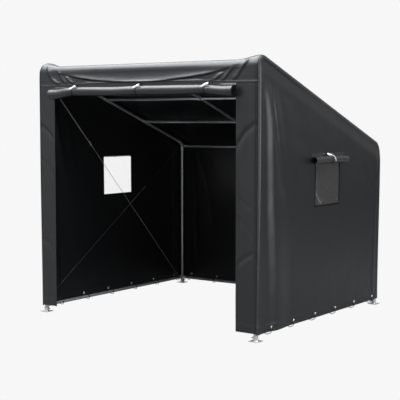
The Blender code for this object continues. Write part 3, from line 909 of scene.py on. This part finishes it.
# Each row: a height, then the depths where the fold starts, crests and ends, and how tall it is
MAIN_FOLD = (
    (1.930, 0.020, 0.085, 0.130, 0.0), (1.850, 0.026, 0.100, 0.148, 0.0100),
    (1.750, 0.049, 0.120, 0.172, 0.0155), (1.600, 0.063, 0.146, 0.206, 0.0185),
    (1.400, 0.068, 0.156, 0.250, 0.0190), (1.200, 0.073, 0.164, 0.314, 0.0185),
    (1.000, 0.078, 0.170, 0.420, 0.0210), (0.800, 0.088, 0.187, 0.437, 0.0235),
    (0.600, 0.106, 0.203, 0.453, 0.0250), (0.400, 0.113, 0.218, 0.468, 0.0260),
    (0.100, 0.130, 0.230, 0.480, 0.0200),
)
SECOND_FOLD = (
    (1.870, 0.140, 0.175, 0.270, 0.0), (1.800, 0.147, 0.185, 0.285, 0.0060),
    (1.700, 0.172, 0.210, 0.310, 0.0080), (1.500, 0.222, 0.260, 0.360, 0.0060),
    (1.300, 0.265, 0.303, 0.403, 0.0030), (1.100, 0.295, 0.335, 0.435, 0.0),
)
THIRD_FOLD = (
    (1.800, 0.260, 0.320, 0.520, 0.0), (1.700, 0.295, 0.355, 0.555, 0.0040),
    (1.400, 0.380, 0.440, 0.640, 0.0040), (1.200, 0.430, 0.490, 0.690, 0.0030),
    (0.850, 0.540, 0.600, 0.800, 0.0),
)
REAR_FOLD = ((1.890, 1.300), (1.878, 1.000), (1.868, 0.500), (1.862, 0.100))

# How tall each wall's front folds are, as a share of the tables above
LOOSENESS = {"left": 0.5, "right": 1.0}


def beyond_tubes(y, z):
    """Signed distance outside the side tubes' middle line, negative inside: to the legs, to
    the rafter, or to the arc inside the angle of each bend."""
    rafter = (z - RAFTER_Z - RAFTER_FALL * y) * math.cos(SLOPE)
    result = np.maximum(np.maximum(-y, y - DEPTH), rafter)
    for (cy, cz), bend, first, last in (
        (FRONT_ARC, FRONT_BEND, ROOF_NORMAL, math.pi),
        (REAR_ARC, REAR_BEND, 0.0, ROOF_NORMAL),
    ):
        angle = np.arctan2(z - cz, y - cy)
        inside = (angle >= first) & (angle <= last)
        result = np.where(inside, np.hypot(y - cy, z - cz) - bend, result)
    return result


def wall_out(y, z, loose=1.0):
    """How far the side wall stands from the middle plane. Beyond the tubes' middle line it
    is an ellipse round them; inside it lies flat, dips behind the front leg, and has folds
    that fall beside that leg, soft ripples and a slight fold beside the rear leg. The folds
    that fall beside the front leg are as tall as their tables say times a looseness."""
    beyond = beyond_tubes(y, z)
    gap = wall_gap(y, z)
    out = LEG_X + gap * np.sqrt(1.0 - (np.clip(beyond, 0.0, SEAM_OUT) / WRAP) ** 2)
    dip = -0.0035 * eased(y, 0.0, 0.040) * (1.0 - eased(y, 0.30, 0.80))
    folds = hanging_fold(y, z, MAIN_FOLD) + hanging_fold(y, z, SECOND_FOLD) + hanging_fold(y, z, THIRD_FOLD)
    rear = 0.0050 * crease(y, z, REAR_FOLD, 0.018, 0.030, 0.05)
    free = eased(-beyond, 0.0, 0.035)
    return out + dip * eased(-beyond, 0.0, 0.02) + loose * folds + free * (rear + ripples(y, z, 0.0013, 5))


def wall_top(y):
    """Height of the corner seam at each depth: the side tubes' line moved out to it."""
    slant = RAFTER_Z + RAFTER_FALL * y + SEAM_OUT / math.cos(SLOPE)
    front_r, rear_r = FRONT_BEND + SEAM_OUT, REAR_BEND + SEAM_OUT
    front = FRONT_ARC[1] + np.sqrt(np.maximum(front_r**2 - (y - FRONT_ARC[0]) ** 2, 0.0))
    rear = REAR_ARC[1] + np.sqrt(np.maximum(rear_r**2 - (y - REAR_ARC[0]) ** 2, 0.0))
    slant = np.where(y < FRONT_ARC[0] + front_r * math.cos(ROOF_NORMAL), front, slant)
    return np.where(y > REAR_ARC[0] + rear_r * math.cos(ROOF_NORMAL), rear, slant)


def window_span():
    """Depths of the window's front and rear edge."""
    return WINDOW_MID - WINDOW_WIDTH / 2, WINDOW_MID + WINDOW_WIDTH / 2


def side_wall(side):
    """A side wall on a grid of depth and height, its rows level up to the window's top and
    then drawn up to the corner seam, with the window left open."""
    y0, y1 = window_span()
    corner = WRAP * np.cos(np.linspace(SEAM_TURN, math.pi / 2, 9))[:-1]
    inner = stops(
        (0.0, 0.50, 0.007), (0.50, y0, 0.02), (y0, y1, 0.02), (y1, 1.78, 0.02), (1.78, DEPTH, 0.008)
    )
    y = np.concatenate([-corner, inner, DEPTH + corner[::-1]])
    lower = stops((0.13, WINDOW_Z[0], 0.03), (*WINDOW_Z, 0.02), (WINDOW_Z[1], 1.325, 0.0065))
    level = np.concatenate([hanging_rows(HEM_Z, 1.0, 2)[:-2], lower])
    rise = np.sin(np.linspace(0.0, math.pi / 2, 62))[1:, None]
    upper = level[-1] + rise * (wall_top(y) - level[-1])
    z = np.concatenate([np.broadcast_to(level[:, None], (len(level), len(y))), upper])
    y_grid = np.broadcast_to(y, z.shape)
    points = placed(SIDES[side] * wall_out(y_grid, z, LOOSENESS[side]), y_grid, z)
    mid_y, mid_z = (y[1:] + y[:-1]) / 2, (z[1:] + z[:-1])[:, 0] / 2
    hole = ((mid_z > WINDOW_Z[0]) & (mid_z < WINDOW_Z[1]))[:, None] & ((mid_y > y0) & (mid_y < y1))[None]
    flat = np.stack([y_grid, z], -1)
    seam = np.clip(SEAM_OUT - beyond_tubes(y_grid, z), 0.0, 1.0)
    low = z - HEM_Z
    edge = np.stack([np.where(low < seam, y_grid, y_grid + z), np.minimum(low, seam)], -1)
    return cloth_shell(points, hem_thickness(low), flat, edge, keep=~hole)


def seam_piping(side):
    """The raised corner seam: a round welt carried along the side tubes' line at the seam,
    out by the side gap times the sine of the seam's angle."""
    up = np.linspace(HEM_Z + 0.001, FRONT_ARC[1], 40)[:-1]
    line = [np.stack([np.full_like(up, -SEAM_OUT), up], -1)]
    for (cy, cz), bend, a0, a1 in (
        (FRONT_ARC, FRONT_BEND, math.pi, ROOF_NORMAL),
        (REAR_ARC, REAR_BEND, ROOF_NORMAL, 0.0),
    ):
        a = np.linspace(a0, a1, 18)
        r = bend + SEAM_OUT
        line.append(np.stack([cy + r * np.cos(a), cz + r * np.sin(a)], -1))
    down = np.linspace(REAR_ARC[1], HEM_Z + 0.001, 30)[1:]
    line.append(np.stack([np.full_like(down, DEPTH + SEAM_OUT), down], -1))
    y, z = np.concatenate(line).T
    x = LEG_X + wall_gap(y, z) * math.sin(SEAM_TURN) + 0.0006
    return cord_body(placed(SIDES[side] * x, y, z), PIPING_R, (1.0, 0.0, 0.0), 10)


walls = {
    side: make_piece(
        "side_wall_cloth_" + side, [side_wall(side)], hemmed_cloth, ["side_wall_" + side]
    )
    for side in SIDES
}
# The piping's near-black finish is painted shade, standing in for the thin shadow line beside the corner
# seam.
piping = {
    side: make_piece("corner_seam_" + side, [seam_piping(side)], binding_cloth_painted_shade)
    for side in SIDES
}


# Windows


def window_net(side):
    """The netting in a window, a little behind the wall's own surface, slightly slack."""
    y0, y1 = window_span()
    y = np.linspace(y0 - 0.006, y1 + 0.006, 25)
    z = np.linspace(WINDOW_Z[0] - 0.006, WINDOW_Z[1] + 0.006, 23)[:, None]
    slack = np.sin(math.pi * (y - y[0]) / (y[-1] - y[0])) * np.sin(math.pi * (z - z[0]) / (z[-1] - z[0]))
    points = placed(SIDES[side] * (wall_out(y, z) - 0.0010 - 0.003 * slack), y, z)
    flat = flat_map(points)
    return cloth_shell(points, 0.0003, flat, edge_map(flat))


def window_binding(side):
    """A flat frame of cloth sewn round the window on both faces of the wall."""
    y, z = [
        np.concatenate([
            np.linspace(a - 0.007, a + 0.005, 5),
            np.linspace(a + 0.03, b - 0.03, 14),
            np.linspace(b - 0.005, b + 0.007, 5),
        ])
        for a, b in (window_span(), WINDOW_Z)
    ]
    z = z[:, None]
    keep = np.ones((len(z) - 1, len(y) - 1), bool)
    keep[4:-4, 4:-4] = False
    shells = []
    for lift in (0.0013, -0.0016):
        points = placed(SIDES[side] * (wall_out(y, z) + lift), y, z)
        flat = flat_map(points)
        shells.append(cloth_shell(points, 0.0009, flat, edge_map(flat), keep=keep))
    return shells


nets = {
    side: make_piece(
        "window_net_" + side, [window_net(side)], netting, ["window_mesh_" + side]
    )
    for side in SIDES
}
# The bindings' near-black finish is partly painted shade, standing in for the shadow along the window edges.
bindings = {
    side: make_piece("window_binding_" + side, window_binding(side), binding_cloth_painted_shade)
    for side in SIDES
}


# Rolled door and window flaps


def rolled(strip, centre, outer, pitch, turns, first, stations, girth, droop):
    """A cloth rolled up: its end view is a strip that comes down and winds inwards from an
    angle, its distance from the centre falling by the pitch each turn. It is carried along
    the roll while its girth swells, narrows and drops from place to place. Gives the place
    along, the distance out and the height of each point."""
    angle = np.linspace(0.0, -2 * math.pi * turns, int(28 * turns))[:, None]
    reach = (outer + pitch * angle / (2 * math.pi)) * girth(stations[None, :], angle + first)
    a = centre[0] + reach * np.cos(angle + first)
    b = centre[1] + reach * np.sin(angle + first) + droop(stations)[None]
    t = np.linspace(0.0, 1.0, len(strip), endpoint=False)[:, None]
    strip = np.asarray(strip, float)
    strip_a = strip[:, :1] + t**2 * (a[:1] - strip[-1:, :1])
    strip_b = strip[:, 1:] + t**2 * droop(stations)[None]
    a = np.concatenate([strip_a + np.zeros_like(a[:1]), a])
    b = np.concatenate([strip_b + np.zeros_like(b[:1]), b])
    return np.broadcast_to(stations, a.shape), a, b


def door_droop(x):
    """Height change along the door's roll: its two ends hang lower, and it waves a little."""
    ends = -0.018 * eased(-x, 0.66, 0.86) - 0.015 * eased(x, 0.60, 0.84)
    return ends + 0.0015 * np.cos(2 * math.pi * (x + 0.003) / 0.66)


def door_girth(x, angle):
    """Share of the roll's plain radius: waists at the ties, lumps between, a soft dent that
    winds along it, and loose ends."""
    waist = sum(np.exp(-(((x - tie) / 0.040) ** 2)) for tie in TIES_X)
    lump = 0.030 * np.sin(7.3 * x + 0.6) + 0.020 * np.sin(16.1 * x + 2.0)
    dent = 0.030 * np.cos(angle - 5.0 * x + 0.7) + 0.018 * np.cos(2 * angle + 9.0 * x)
    loose = 0.13 * np.exp(-(((x - ROLL_X[0]) / 0.09) ** 2)) + 0.10 * np.exp(-(((x - ROLL_X[1]) / 0.09) ** 2))
    return 1.0 - 0.11 * waist + lump + dent + loose


def door_roll():
    """The door rolled up under the header. Its strip comes down behind the header's hem and,
    where the roll hangs low, bulges forwards below it."""
    ties = [np.linspace(x - 0.05, x + 0.05, 13) for x in TIES_X]
    stations = np.unique(np.concatenate([np.linspace(*ROLL_X, 84)] + ties))
    inner = ROLL_CENTRE[0] + ROLL_R
    strip = [(inner + 0.0013, 1.960), (inner + 0.0011, 1.945), (inner + 0.0008, 1.930)]
    strip += [(inner, z) for z in np.linspace(1.920, 1.876, 10)]
    x, y, z = rolled(strip, ROLL_CENTRE, ROLL_R, 0.0026, 10.0, 0.0, stations, door_girth, door_droop)
    low = eased(-door_droop(x), 0.004, 0.014)
    rows = np.arange(len(y))[:, None] < len(strip)
    y = y - rows * 0.0085 * low * np.exp(-(((z - 1.893) / 0.011) ** 2))
    points = placed(x, y, z)
    flat = flat_map(points)
    return cloth_shell(points, 0.0010, flat, edge_map(flat, high=False, low=False))


def flap_girth(y, angle):
    """Share of the flap roll's plain radius: a waist, a crease along its front, lumps, and
    five low ridges round it."""
    waist = np.exp(-(((y - WINDOW_MID) / 0.028) ** 2))
    front = np.exp(-((np.angle(np.exp(1j * (angle + 0.25))) / 0.30) ** 2))
    ridges = 0.03 * np.cos(5.0 * angle + 1.0) + 0.025 * np.cos(angle + 6.0 * y)
    return 1.0 - 0.12 * waist - 0.10 * front + 0.03 * np.sin(19.0 * y + 1.0) + ridges


def flap_droop(y):
    """A slight fall of the flap roll's free ends."""
    return -0.004 * eased(np.abs(y - WINDOW_MID), 0.16, FLAP_HALF)


def flap_roll(side):
    """A window flap rolled up over its window: a loose roll, hollow in the middle."""
    stations = stops(
        (WINDOW_MID - FLAP_HALF, WINDOW_MID - 0.05, 0.016),
        (WINDOW_MID - 0.05, WINDOW_MID + 0.05, 0.008),
        (WINDOW_MID + 0.05, WINDOW_MID + FLAP_HALF, 0.016),
    )
    wall = FLAP_CENTRE[0] - FLAP_R
    strip = [(wall, 1.372), (wall, 1.360), (wall, 1.345), (wall, 1.333)]
    y, x, z = rolled(strip, FLAP_CENTRE, FLAP_R, 0.0034, 2.3, math.pi, stations, flap_girth, flap_droop)
    points = placed(SIDES[side] * x, y, z)
    flat = flat_map(points)
    return cloth_shell(points, 0.0010, flat, edge_map(flat, high=False, low=False))


door = make_piece("door_roll_cloth", [door_roll()], rolled_cloth, ["door_roll"])
flaps = {
    side: make_piece(
        "window_flap_roll_" + side, [flap_roll(side)], flap_cloth, ["window_roll_" + side]
    )
    for side in SIDES
}


# Ties

TOGGLE_HALF = 0.038
TOGGLE_R = 0.0090
ELASTIC_R = 0.0019
STRANDS = (-0.0022, 0.0022)
# Tail of the window tie's strap: places from the flap roll's centre and the window's middle
STRAP = (
    (-0.002, 0.020, 0.034), (0.014, 0.026, 0.026), (0.0275, 0.031, 0.004), (0.026, 0.034, -0.014),
)
STRAP_R = 0.0022
KNOT = ((0.0001, -0.005), (0.0035, -0.0035), (0.0048, 0.0), (0.0035, 0.0035), (0.0001, 0.005))


def two_strands(path, across):
    """Two strands of elastic side by side along a path. across is the way between them."""
    across = np.array(across)
    strands = [path + apart * across for apart in STRANDS]
    return [cord_body(placed(*strand.T), ELASTIC_R, across) for strand in strands]


def toggle_body(middle, axis):
    """A round toggle with a waist: its radius is the plain one, less a narrow bell curve at
    the middle, times a curve that closes both ends."""
    h = TOGGLE_HALF * np.sin(np.linspace(-math.pi / 2, math.pi / 2, 25))
    ends = np.sqrt(np.maximum(1.0 - (np.abs(h) / TOGGLE_HALF) ** 6, 0.0))
    r = TOGGLE_R * (1.0 - 0.28 * np.exp(-((h / 0.009) ** 2))) * ends
    return turned(np.stack([np.maximum(r, 0.0001), h], -1), middle, axis, 18)


def door_tie(x):
    """A tie on the rolled door: an elastic loop from the header round the roll, with a knot
    and a toggle that lies against the roll's upper front, its right end higher."""
    lean = math.radians(20)
    axis = np.array([math.cos(lean), -0.10, math.sin(lean)])
    toggle = toggle_body(placed(x + 0.010, ROLL_CENTRE[0] - 0.030, ROLL_CENTRE[1] + 0.0315), axis)
    r = ROLL_R * 0.90 + 0.0030
    a = np.radians(np.linspace(100, 335, 14))
    ring = np.stack([np.full_like(a, x), ROLL_CENTRE[0] + r * np.cos(a), ROLL_CENTRE[1] + r * np.sin(a)], -1)
    start = [[x + 0.008, -0.0300, 1.930], [x + 0.004, -0.0345, 1.918], [x + 0.001, -0.0440, 1.9085]]
    path = through(np.concatenate([start, ring]), 60)
    cords = two_strands(path, (1.0, 0.0, 0.0))
    knot = turned(KNOT, placed(x + 0.016, -0.0520, 1.9180), axis, 12)
    return toggle, cords + [knot]


def window_tie(side):
    """A tie on a rolled window flap: an elastic loop round it, a toggle that lies along its
    top, and the short tail of a light strap."""
    s = SIDES[side]
    cx, cz = FLAP_CENTRE
    toggle = toggle_body(placed(s * (cx - 0.010), WINDOW_MID - 0.006, cz + 0.0385), (0.0, 1.0, -0.17))
    a = np.radians(np.linspace(150, -185, 22))
    r = FLAP_R * 0.89 + 0.0032
    along = WINDOW_MID + 0.002 + 0.010 * np.sin(a / 2)
    path = through(np.stack([s * (cx + r * np.cos(a)), along, cz + r * np.sin(a)], -1), 60)
    cords = two_strands(path, (0.0, 1.0, 0.0))
    tail = through([(s * (cx + x), WINDOW_MID + y, cz + z) for x, y, z in STRAP], 24)
    return toggle, cords, cord_body(placed(*tail.T), STRAP_R, (0.0, 1.0, 0.0))


for name, x in zip(("left", "middle", "right"), TIES_X):
    toggle, cords = door_tie(x)
    make_piece("door_toggle_" + name, [toggle], toggle_white, ["door_tie_" + name])
    make_piece("door_elastic_" + name, cords, elastic_cord)
for side in SIDES:
    toggle, cords, strap = window_tie(side)
    make_piece("window_toggle_" + side, [toggle, strap], toggle_white, ["window_tie_" + side])
    make_piece("window_elastic_" + side, cords, elastic_cord)


# Braces

REAR_HOOK = math.radians(45)
BRACES = {
    "falling": ((0.0, 2.0), (1.885, RAIL_Z)),
    "rising": (
        (REAR_ARC[0] + REAR_BEND * math.cos(REAR_HOOK), REAR_ARC[1] + REAR_BEND * math.sin(REAR_HOOK)),
        (0.0, 0.12),
    ),
}
ROPE_R = 0.0018
ROPE_INWARD = {"falling": 0.0188, "rising": 0.0236}
ADJUSTER_Y = {"falling": 0.557, "rising": 1.310}
ADJUSTER = (
    (0.0001, -0.027), (0.0042, -0.026), (0.0062, -0.021), (0.0050, -0.009), (0.0046, 0.0),
    (0.0050, 0.009), (0.0062, 0.021), (0.0042, 0.026), (0.0001, 0.027),
)
HOOK_PIN = (
    (0.0001, 0.0), (0.0045, 0.0002), (0.0048, 0.001), (0.0030, 0.002), (0.0030, 0.0155), (0.0001, 0.0160),
)


def brace(side, name):
    """A brace: a taut cord from hook to hook, doubled as far as its tightening bar if it
    falls to the rear."""
    s = SIDES[side]
    x = s * (LEG_X - ROPE_INWARD[name])
    upper, lower = (np.array([x, *end]) for end in BRACES[name])
    t = (ADJUSTER_Y[name] - upper[1]) / (lower[1] - upper[1])
    bar = upper + t * (lower - upper)
    along = (lower - upper) / np.linalg.norm(lower - upper)
    square = np.cross(along, [1.0, 0.0, 0.0])
    single = upper + np.linspace(0.0, 1.0, 60)[:, None] * (lower - upper)
    ropes = [cord_body(placed(*single.T), ROPE_R, (1.0, 0.0, 0.0), 10)]
    if name == "falling":
        apart = 0.0075 * np.sin(np.linspace(0.0, math.pi, 30)) ** 0.5
        second = upper + np.linspace(0.004, 1.0, 30)[:, None] * (bar - upper) + apart[:, None] * square
        ropes.append(cord_body(placed(*second.T), ROPE_R, (1.0, 0.0, 0.0), 10))
    metal = [turned(ADJUSTER, placed(*bar), along + square * 0.10, 14)]
    for end, toward in ((upper, along), (lower, -along)):
        a = np.linspace(-2.4, 2.4, 18)[:, None]
        eye = end + toward * 0.012 + 0.0078 * (np.sin(a) * square - np.cos(a) * toward)
        metal.append(cord_body(placed(*eye.T), 0.0016, (1.0, 0.0, 0.0)))
        pin_foot = placed(s * (LEG_X - TUBE_R - 0.0003), end[1], end[2])
        metal.append(turned(HOOK_PIN, pin_foot, (-s, 0.0, 0.0), 14))
    return ropes, metal


for side in SIDES:
    for name in BRACES:
        ropes, metal = brace(side, name)
        node = "brace_%s_%s" % (name, side)
        make_piece("%s_rope" % node, ropes, brace_cords[name], [node])
        make_piece("%s_hooks" % node, metal, plated)


# Eyelets and elastics along the hem

EYELET = (
    (0.0045, 0.0016), (0.0052, 0.0024), (0.0078, 0.0026), (0.0100, 0.0018), (0.0105, 0.0009),
    (0.0080, 0.0010), (0.0050, 0.0004), (0.0045, 0.0),
)
HEM_ELASTIC_R = 0.0026
# For each wall: where the eyelets are, their height, and how far each elastic slants
EYELETS = {
    "left": (0.168 + 0.338 * np.arange(6), 0.087, 0.028),
    "right": (0.168 + 0.338 * np.arange(6), 0.084, -0.024),
    "rear": (-0.963 + 0.307 * np.arange(7), 0.092, -0.020),
}


def hem_fixing(wall, along, height, shift):
    """One eyelet on each face of the hem and its elastic: a loop from the outer eyelet down,
    under the base rail, up inside it and back through the inner eyelet. Lengths outwards
    are from the rail's middle."""
    if wall == "rear":
        axis, square = np.array([0.0, 1.0, 0.0]), (1.0, 0.0, 0.0)
        face = float(np.interp(height, [HEM_Z, 0.30], [0.0220, 0.0270]))
    else:
        axis, square = np.array([SIDES[wall], 0.0, 0.0]), (0.0, 1.0, 0.0)
        face = float(wall_out(np.array([along]), np.array([height]))[0]) - LEG_X

    def put(out, run, z):
        """A point from its distance outwards, its place along the wall and its height."""
        return placed(run, DEPTH + out, z) if wall == "rear" else placed(SIDES[wall] * (LEG_X + out), run, z)

    rings = [
        turned(EYELET, put(face + 0.0008, along, height), axis, 16, closed=True),
        turned(EYELET, put(face - 0.0008, along, height), -axis, 16, closed=True),
    ]
    route = [
        (face + 0.0050, 0.0, height),
        (face + 0.0062, 0.25, height - 0.014),
        (face + 0.0040, 0.50, 0.047),
        (face - 0.0110, 0.75, RAIL_Z - 0.0190),
        (0.0, 1.0, RAIL_Z - 0.0225),
        (-0.0130, 0.95, RAIL_Z - 0.0150),
        (-0.0160, 0.85, RAIL_Z + 0.003),
        (-0.0060, 0.60, RAIL_Z + 0.0165),
        (face - 0.0100, 0.30, height - 0.005),
        (face - 0.0045, 0.0, height),
    ]
    points = np.array([put(out, along + share * shift, z) for out, share, z in route])
    return rings, cord_body(through(points, 48, closed=True), HEM_ELASTIC_R, square, closed=True)


for wall, (places, height, shift) in EYELETS.items():
    rings, loops = [], []
    for along in places:
        ring, loop = hem_fixing(wall, along, height, shift)
        rings += ring
        loops.append(loop)
    make_piece("hem_eyelets_" + wall, rings, eyelet_metal)
    make_piece("hem_elastics_" + wall, loops, elastic_cord)


# Bolts on the feet, and the finish of the frame

BOLT_HEAD = (
    (0.0001, 0.0), (0.0068, 0.0002), (0.0072, 0.0012), (0.0072, 0.0022), (0.0052, 0.0026),
    (0.0052, 0.0062), (0.0044, 0.0070), (0.0001, 0.0072),
)


def foot_bolts(side, end):
    """Two bolts on a foot: one on the socket's inner side, one on the neck's outer corner."""
    s = SIDES[side]
    y, toward = (0.0, -1.0) if end == "front" else (DEPTH, 1.0)
    return [
        turned(BOLT_HEAD, placed(s * (LEG_X - 0.0275), y, 0.026), (-s, 0.0, 0.0), 6),
        turned(BOLT_HEAD, placed(s * (LEG_X - 0.012), y + toward * 0.0105, 0.062), (-s, toward, 0.0), 6),
    ]


for side in SIDES:
    for end in ("front", "rear"):
        make_piece(
            "foot_bolts_%s_%s" % (end, side), foot_bolts(side, end),
            knob_dark, crisp=25.0,
        )

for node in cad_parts.values():
    if not node.hide_render:
        node.data.materials.clear()
        node.data.materials.append(steel)


# Floor, light and camera

BACKDROP = 0.93
SURROUND = 0.40
LIGHT_TINT = (0.94, 0.965, 1.0)
FLOOR_TONE = 0.16


def by_ray(tree, seen, unseen):
    """A value for rays straight from the camera, and another for all other rays."""
    path = tree.nodes.new("ShaderNodeLightPath")
    return maths(tree, "MULTIPLY_ADD", path.outputs["Is Camera Ray"], seen - unseen, unseen)


def studio():
    """An even surround, and a wide floor that shows as pale as it straight from the camera and
    returns only a little light to everything else."""
    world = bpy.data.worlds.new("studio")
    world.use_nodes = True
    bpy.context.scene.world = world
    back = world.node_tree.nodes["Background"]
    back.inputs["Color"].default_value = (1.0, 1.0, 1.0, 1.0)
    world.node_tree.links.new(by_ray(world.node_tree, BACKDROP, SURROUND), back.inputs["Strength"])

    mesh = bpy.data.meshes.new("floor")
    r = 60.0
    mesh.from_pydata([(-r, -r, 0.0), (r, -r, 0.0), (r, r, 0.0), (-r, r, 0.0)], [], [(0, 1, 2, 3)])
    floor = bpy.data.objects.new("floor", mesh)
    bpy.context.scene.collection.objects.link(floor)
    finish, tree, shader = blank_finish("floor")
    shader.inputs["Base Color"].default_value = (FLOOR_TONE, FLOOR_TONE, FLOOR_TONE, 1.0)
    shader.inputs["Roughness"].default_value = 0.9
    shader.inputs["Specular IOR Level"].default_value = 0.0
    glow = tree.nodes.new("ShaderNodeEmission")
    glow.inputs["Color"].default_value = (BACKDROP, BACKDROP, BACKDROP, 1.0)
    mix = tree.nodes.new("ShaderNodeMixShader")
    tree.links.new(by_ray(tree, 1.0, 0.0), mix.inputs[0])
    tree.links.new(shader.outputs[0], mix.inputs[1])
    tree.links.new(glow.outputs[0], mix.inputs[2])
    tree.links.new(mix.outputs[0], tree.nodes["Material Output"].inputs["Surface"])
    mesh.materials.append(finish)


def soft_light(name, place, aim, size, radiance):
    """A large rectangular light at a place, turned to a point and slightly blue, as bright as
    the surround would be at that radiance: its power is pi times its area times that."""
    data = bpy.data.lights.new(name, "AREA")
    data.shape = "RECTANGLE"
    data.size, data.size_y = size
    data.energy = math.pi * size[0] * size[1] * radiance
    data.color = LIGHT_TINT
    light = bpy.data.objects.new(name, data)
    bpy.context.scene.collection.objects.link(light)
    light.location = place
    light.visible_camera = False
    away = np.array(place, float) - np.array(aim, float)
    tilt = math.atan2(math.hypot(away[0], away[1]), away[2])
    light.rotation_euler = (tilt, 0.0, math.atan2(away[0], -away[1]))


studio()
soft_light("overhead", (-1.0, -2.0, 6.7), (-1.0, -1.99, 0.0), (10.0, 8.0), 9.0)
soft_light("right_side", (7.4, 0.2, 2.3), (1.1, 0.0, 1.1), (4.4, 5.0), 4.4)
soft_light("front_right", (6.4, -5.4, 2.4), (1.0, -1.0, 1.1), (3.2, 4.5), 2.6)
soft_light("front_left", (-5.0, -7.0, 2.5), (0.0, -1.0, 1.1), (6.0, 6.0), 0.62)

# The camera's place from the floor midway between the front legs, its lens and its turn
CAMERA_PLACE = (5.1691, -6.4604, 1.6459)
CAMERA_LENS = 94.09
CAMERA_DOWN = 4.4402
CAMERA_TURN = 35.5384
camera_data = bpy.data.cameras.new("camera")
camera_data.lens = CAMERA_LENS
camera_data.sensor_width = 36.0
camera = bpy.data.objects.new("camera", camera_data)
camera.location = placed(*CAMERA_PLACE)
camera.rotation_euler = (math.radians(90 - CAMERA_DOWN), 0.0, math.radians(CAMERA_TURN))
bpy.context.scene.collection.objects.link(camera)
bpy.context.scene.camera = camera
bpy.context.scene.view_settings.view_transform = "Standard"
